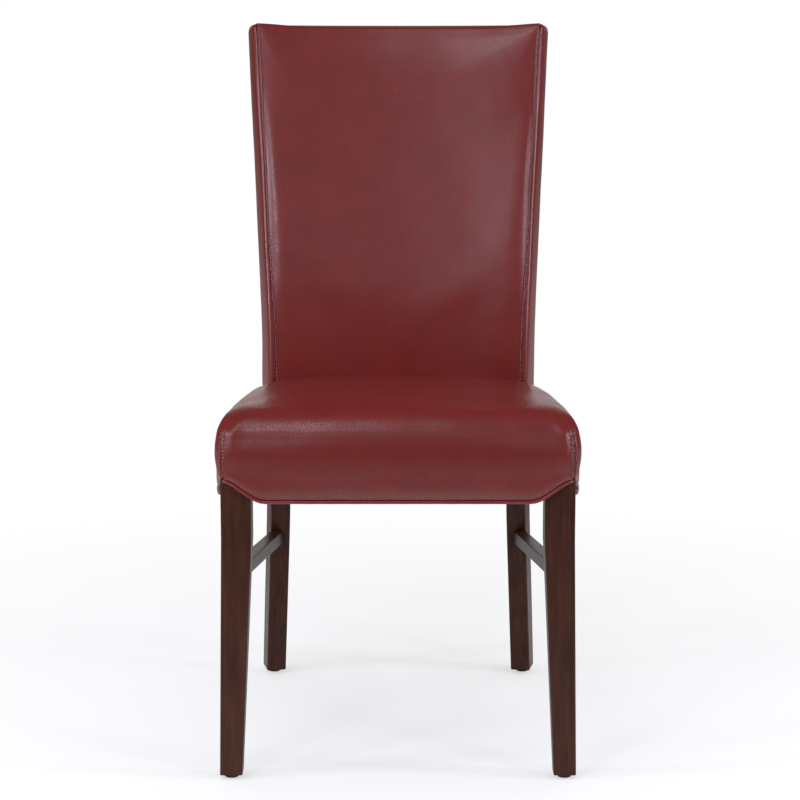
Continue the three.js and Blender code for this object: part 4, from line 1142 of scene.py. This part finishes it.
# %% Stitches of the back's side seams
def side_seam_line(side, offset):
    heights = np.arange(0.470, 0.9935, 0.002)
    inset = seam_inset(heights) + offset
    ahead = np.interp(inset, back_section[:, 0], back_section[:, 1])
    return at(on_back(side * (back_half(heights) - inset), -ahead, heights))

both_sides = ((-1, "left"), (1, "right"))
for side, word in both_sides:
    line = side_seam_line(side, side_stitch_offset)
    sew(f"back_stitches_{word}", stitch_row(back_surface, line, thickness=0.0017))

# %% Stitches of the seat's corner seams
def corner_seam_line(side, offset):
    rows = [r for r, height in enumerate(section_points[:, 1])
            if section_places[r] > 0.009 and height < seam_top - 0.003]
    line = []
    for r in rows:
        ring, run = seat_rings[r], length_along(seat_rings[r])
        column = corner_column if side > 0 else seat_columns - 1 - corner_column
        place = np.interp(column, np.arange(seat_columns), run) + offset
        line.append(points_along(ring, [place])[0])
    return at(np.array(line))

for side, word in both_sides:
    before, after = (stitch_row(seat_surface, corner_seam_line(side, offset), thickness=0.0015)
                     for offset in (-0.003, 0.003))
    sew(f"seat_corner_stitches_{word}", before + after)

# %% [markdown]
# ## Floor and studio light
# The chair stands on a plain pale floor that fades out at its rim, and the world is white where the camera or
# glass looks at it, so the background is plain white without more light on the chair. As light for matt
# surfaces, the world grows from dim at the horizon to white overhead, like a pale ceiling. Polished leather
# mirrors white only straight behind the chair, a dim room elsewhere and a pale floor below. Tall strips stand
# at both sides, a small lamp at the front left, a wide one in front and one high over the front edge: each
# leaves one soft band of light on the leather, as in a photographer's studio.

# %% Pale floor
rim_reach, rim_sides, under_feet = 1.6, 96, 0.0005
fade_start, fade_end, camera_glow = 0.7, 1.5, 0.55

def mix_shaders(tree, factor, first, second):
    return fill_inputs(tree, add_node(tree, "ShaderNodeMixShader"), factor, first, second).outputs[0]

def floor_finish():
    material = bpy.data.materials.new("pale_floor")
    material.use_nodes = True
    tree = material.node_tree
    tree.nodes.clear()
    far = add_node(tree, "ShaderNodeVectorMath", operation="LENGTH")
    join(tree, object_place(tree), far.inputs[0])
    fade = span(tree, far.outputs["Value"], fade_start, fade_end, 0.0, 1.0)
    pale = add_node(tree, "ShaderNodeBsdfDiffuse", Color=rgb(0.86, 0.86, 0.86))
    glow = add_node(tree, "ShaderNodeEmission", Strength=1.0)
    path = add_node(tree, "ShaderNodeLightPath")
    seen = math_node(tree, "MULTIPLY", path.outputs["Is Camera Ray"], camera_glow)
    lit = mix_shaders(tree, seen, pale.outputs[0], glow.outputs[0])
    clear = add_node(tree, "ShaderNodeBsdfTransparent")
    out = add_node(tree, "ShaderNodeOutputMaterial")
    join(tree, mix_shaders(tree, fade, lit, clear.outputs[0]), out.inputs[0])
    return material

turns = np.linspace(0, 2 * math.pi, rim_sides, endpoint=False)
rim = [(rim_reach * math.cos(t), rim_reach * math.sin(t), -under_feet) for t in turns]
floor = new_piece("pale_floor", rim, [tuple(range(rim_sides))], floor_finish())
print("floor laid:", rim_reach * 2, "m across")

# %% White surroundings
def white_surroundings(fill, above, room, ground):
    world = bpy.data.worlds.new("studio")
    world.use_nodes = True
    tree = world.node_tree
    tree.nodes.clear()
    path = add_node(tree, "ShaderNodeLightPath")
    towards = add_node(tree, "ShaderNodeTexCoord")
    axes = add_node(tree, "ShaderNodeSeparateXYZ")
    join(tree, towards.outputs["Generated"], axes.inputs[0])
    wall_behind = span(tree, axes.outputs["Y"], 0.94, 0.99, room, 1.0)
    below = span(tree, axes.outputs["Z"], 0.0, -0.12, room, ground)
    mirrored = math_node(tree, "MAXIMUM", wall_behind, below)
    from_above = span(tree, axes.outputs["Z"], 0.1, 1.0, fill, above)
    lighting = span(tree, path.outputs["Is Glossy Ray"], 0.0, 1.0, from_above, mirrored)
    seen = math_node(tree, "MAXIMUM", path.outputs["Is Camera Ray"], path.outputs["Is Transmission Ray"])
    background = add_node(tree, "ShaderNodeBackground", Color=rgb(1, 1, 1))
    join(tree, span(tree, seen, 0.0, 1.0, lighting, 1.0), background.inputs["Strength"])
    out = add_node(tree, "ShaderNodeOutputWorld")
    join(tree, background.outputs[0], out.inputs[0])
    bpy.context.scene.world = world

white_surroundings(fill=0.25, above=1.1, room=0.08, ground=0.4)
print("surroundings: white to the camera, dim as light")

# %% Soft lamps
cool_tint = (0.84, 0.88, 1.0)

def soft_lamp(name, place, aim, width, height, power):
    data = bpy.data.lights.new(name, "AREA")
    data.shape, data.size, data.size_y, data.energy = "RECTANGLE", width, height, power
    data.color = cool_tint
    lamp = bpy.data.objects.new(name, data)
    lamp.location = place
    lamp.rotation_euler = (Vector(aim) - Vector(place)).to_track_quat("-Z", "Y").to_euler()
    bpy.context.scene.collection.objects.link(lamp)

# Each row: name, place, point it faces, width and height in metres, power in watts.
lamps = [
    ("left_window", (-2.1, -0.75, 1.25), (0, -0.05, 0.75), 0.32, 1.3, 17),
    ("left_strip", (-1.9, -1.5, 1.35), (0, 0, 0.75), 0.3, 1.1, 8),
    ("right_window", (2.1, -0.6, 1.25), (0, -0.05, 0.75), 0.3, 1.3, 19),
    ("right_strip", (1.7, -1.7, 1.35), (0, 0, 0.75), 0.3, 1.1, 9),
    ("key_front_left", (-1.2, -2.2, 1.95), (0, 0, 0.6), 0.35, 0.4, 9),
    ("front_wide", (0, -2.5, 1.97), (0, 0, 0.7), 2.4, 0.35, 2.3),
    ("high_front", (-0.4, -1.1, 2.38), (-0.1, -0.3, 0.47), 0.3, 0.8, 4.5),
]
for lamp in lamps:
    soft_lamp(*lamp)
print("lamps:", len(lamps))
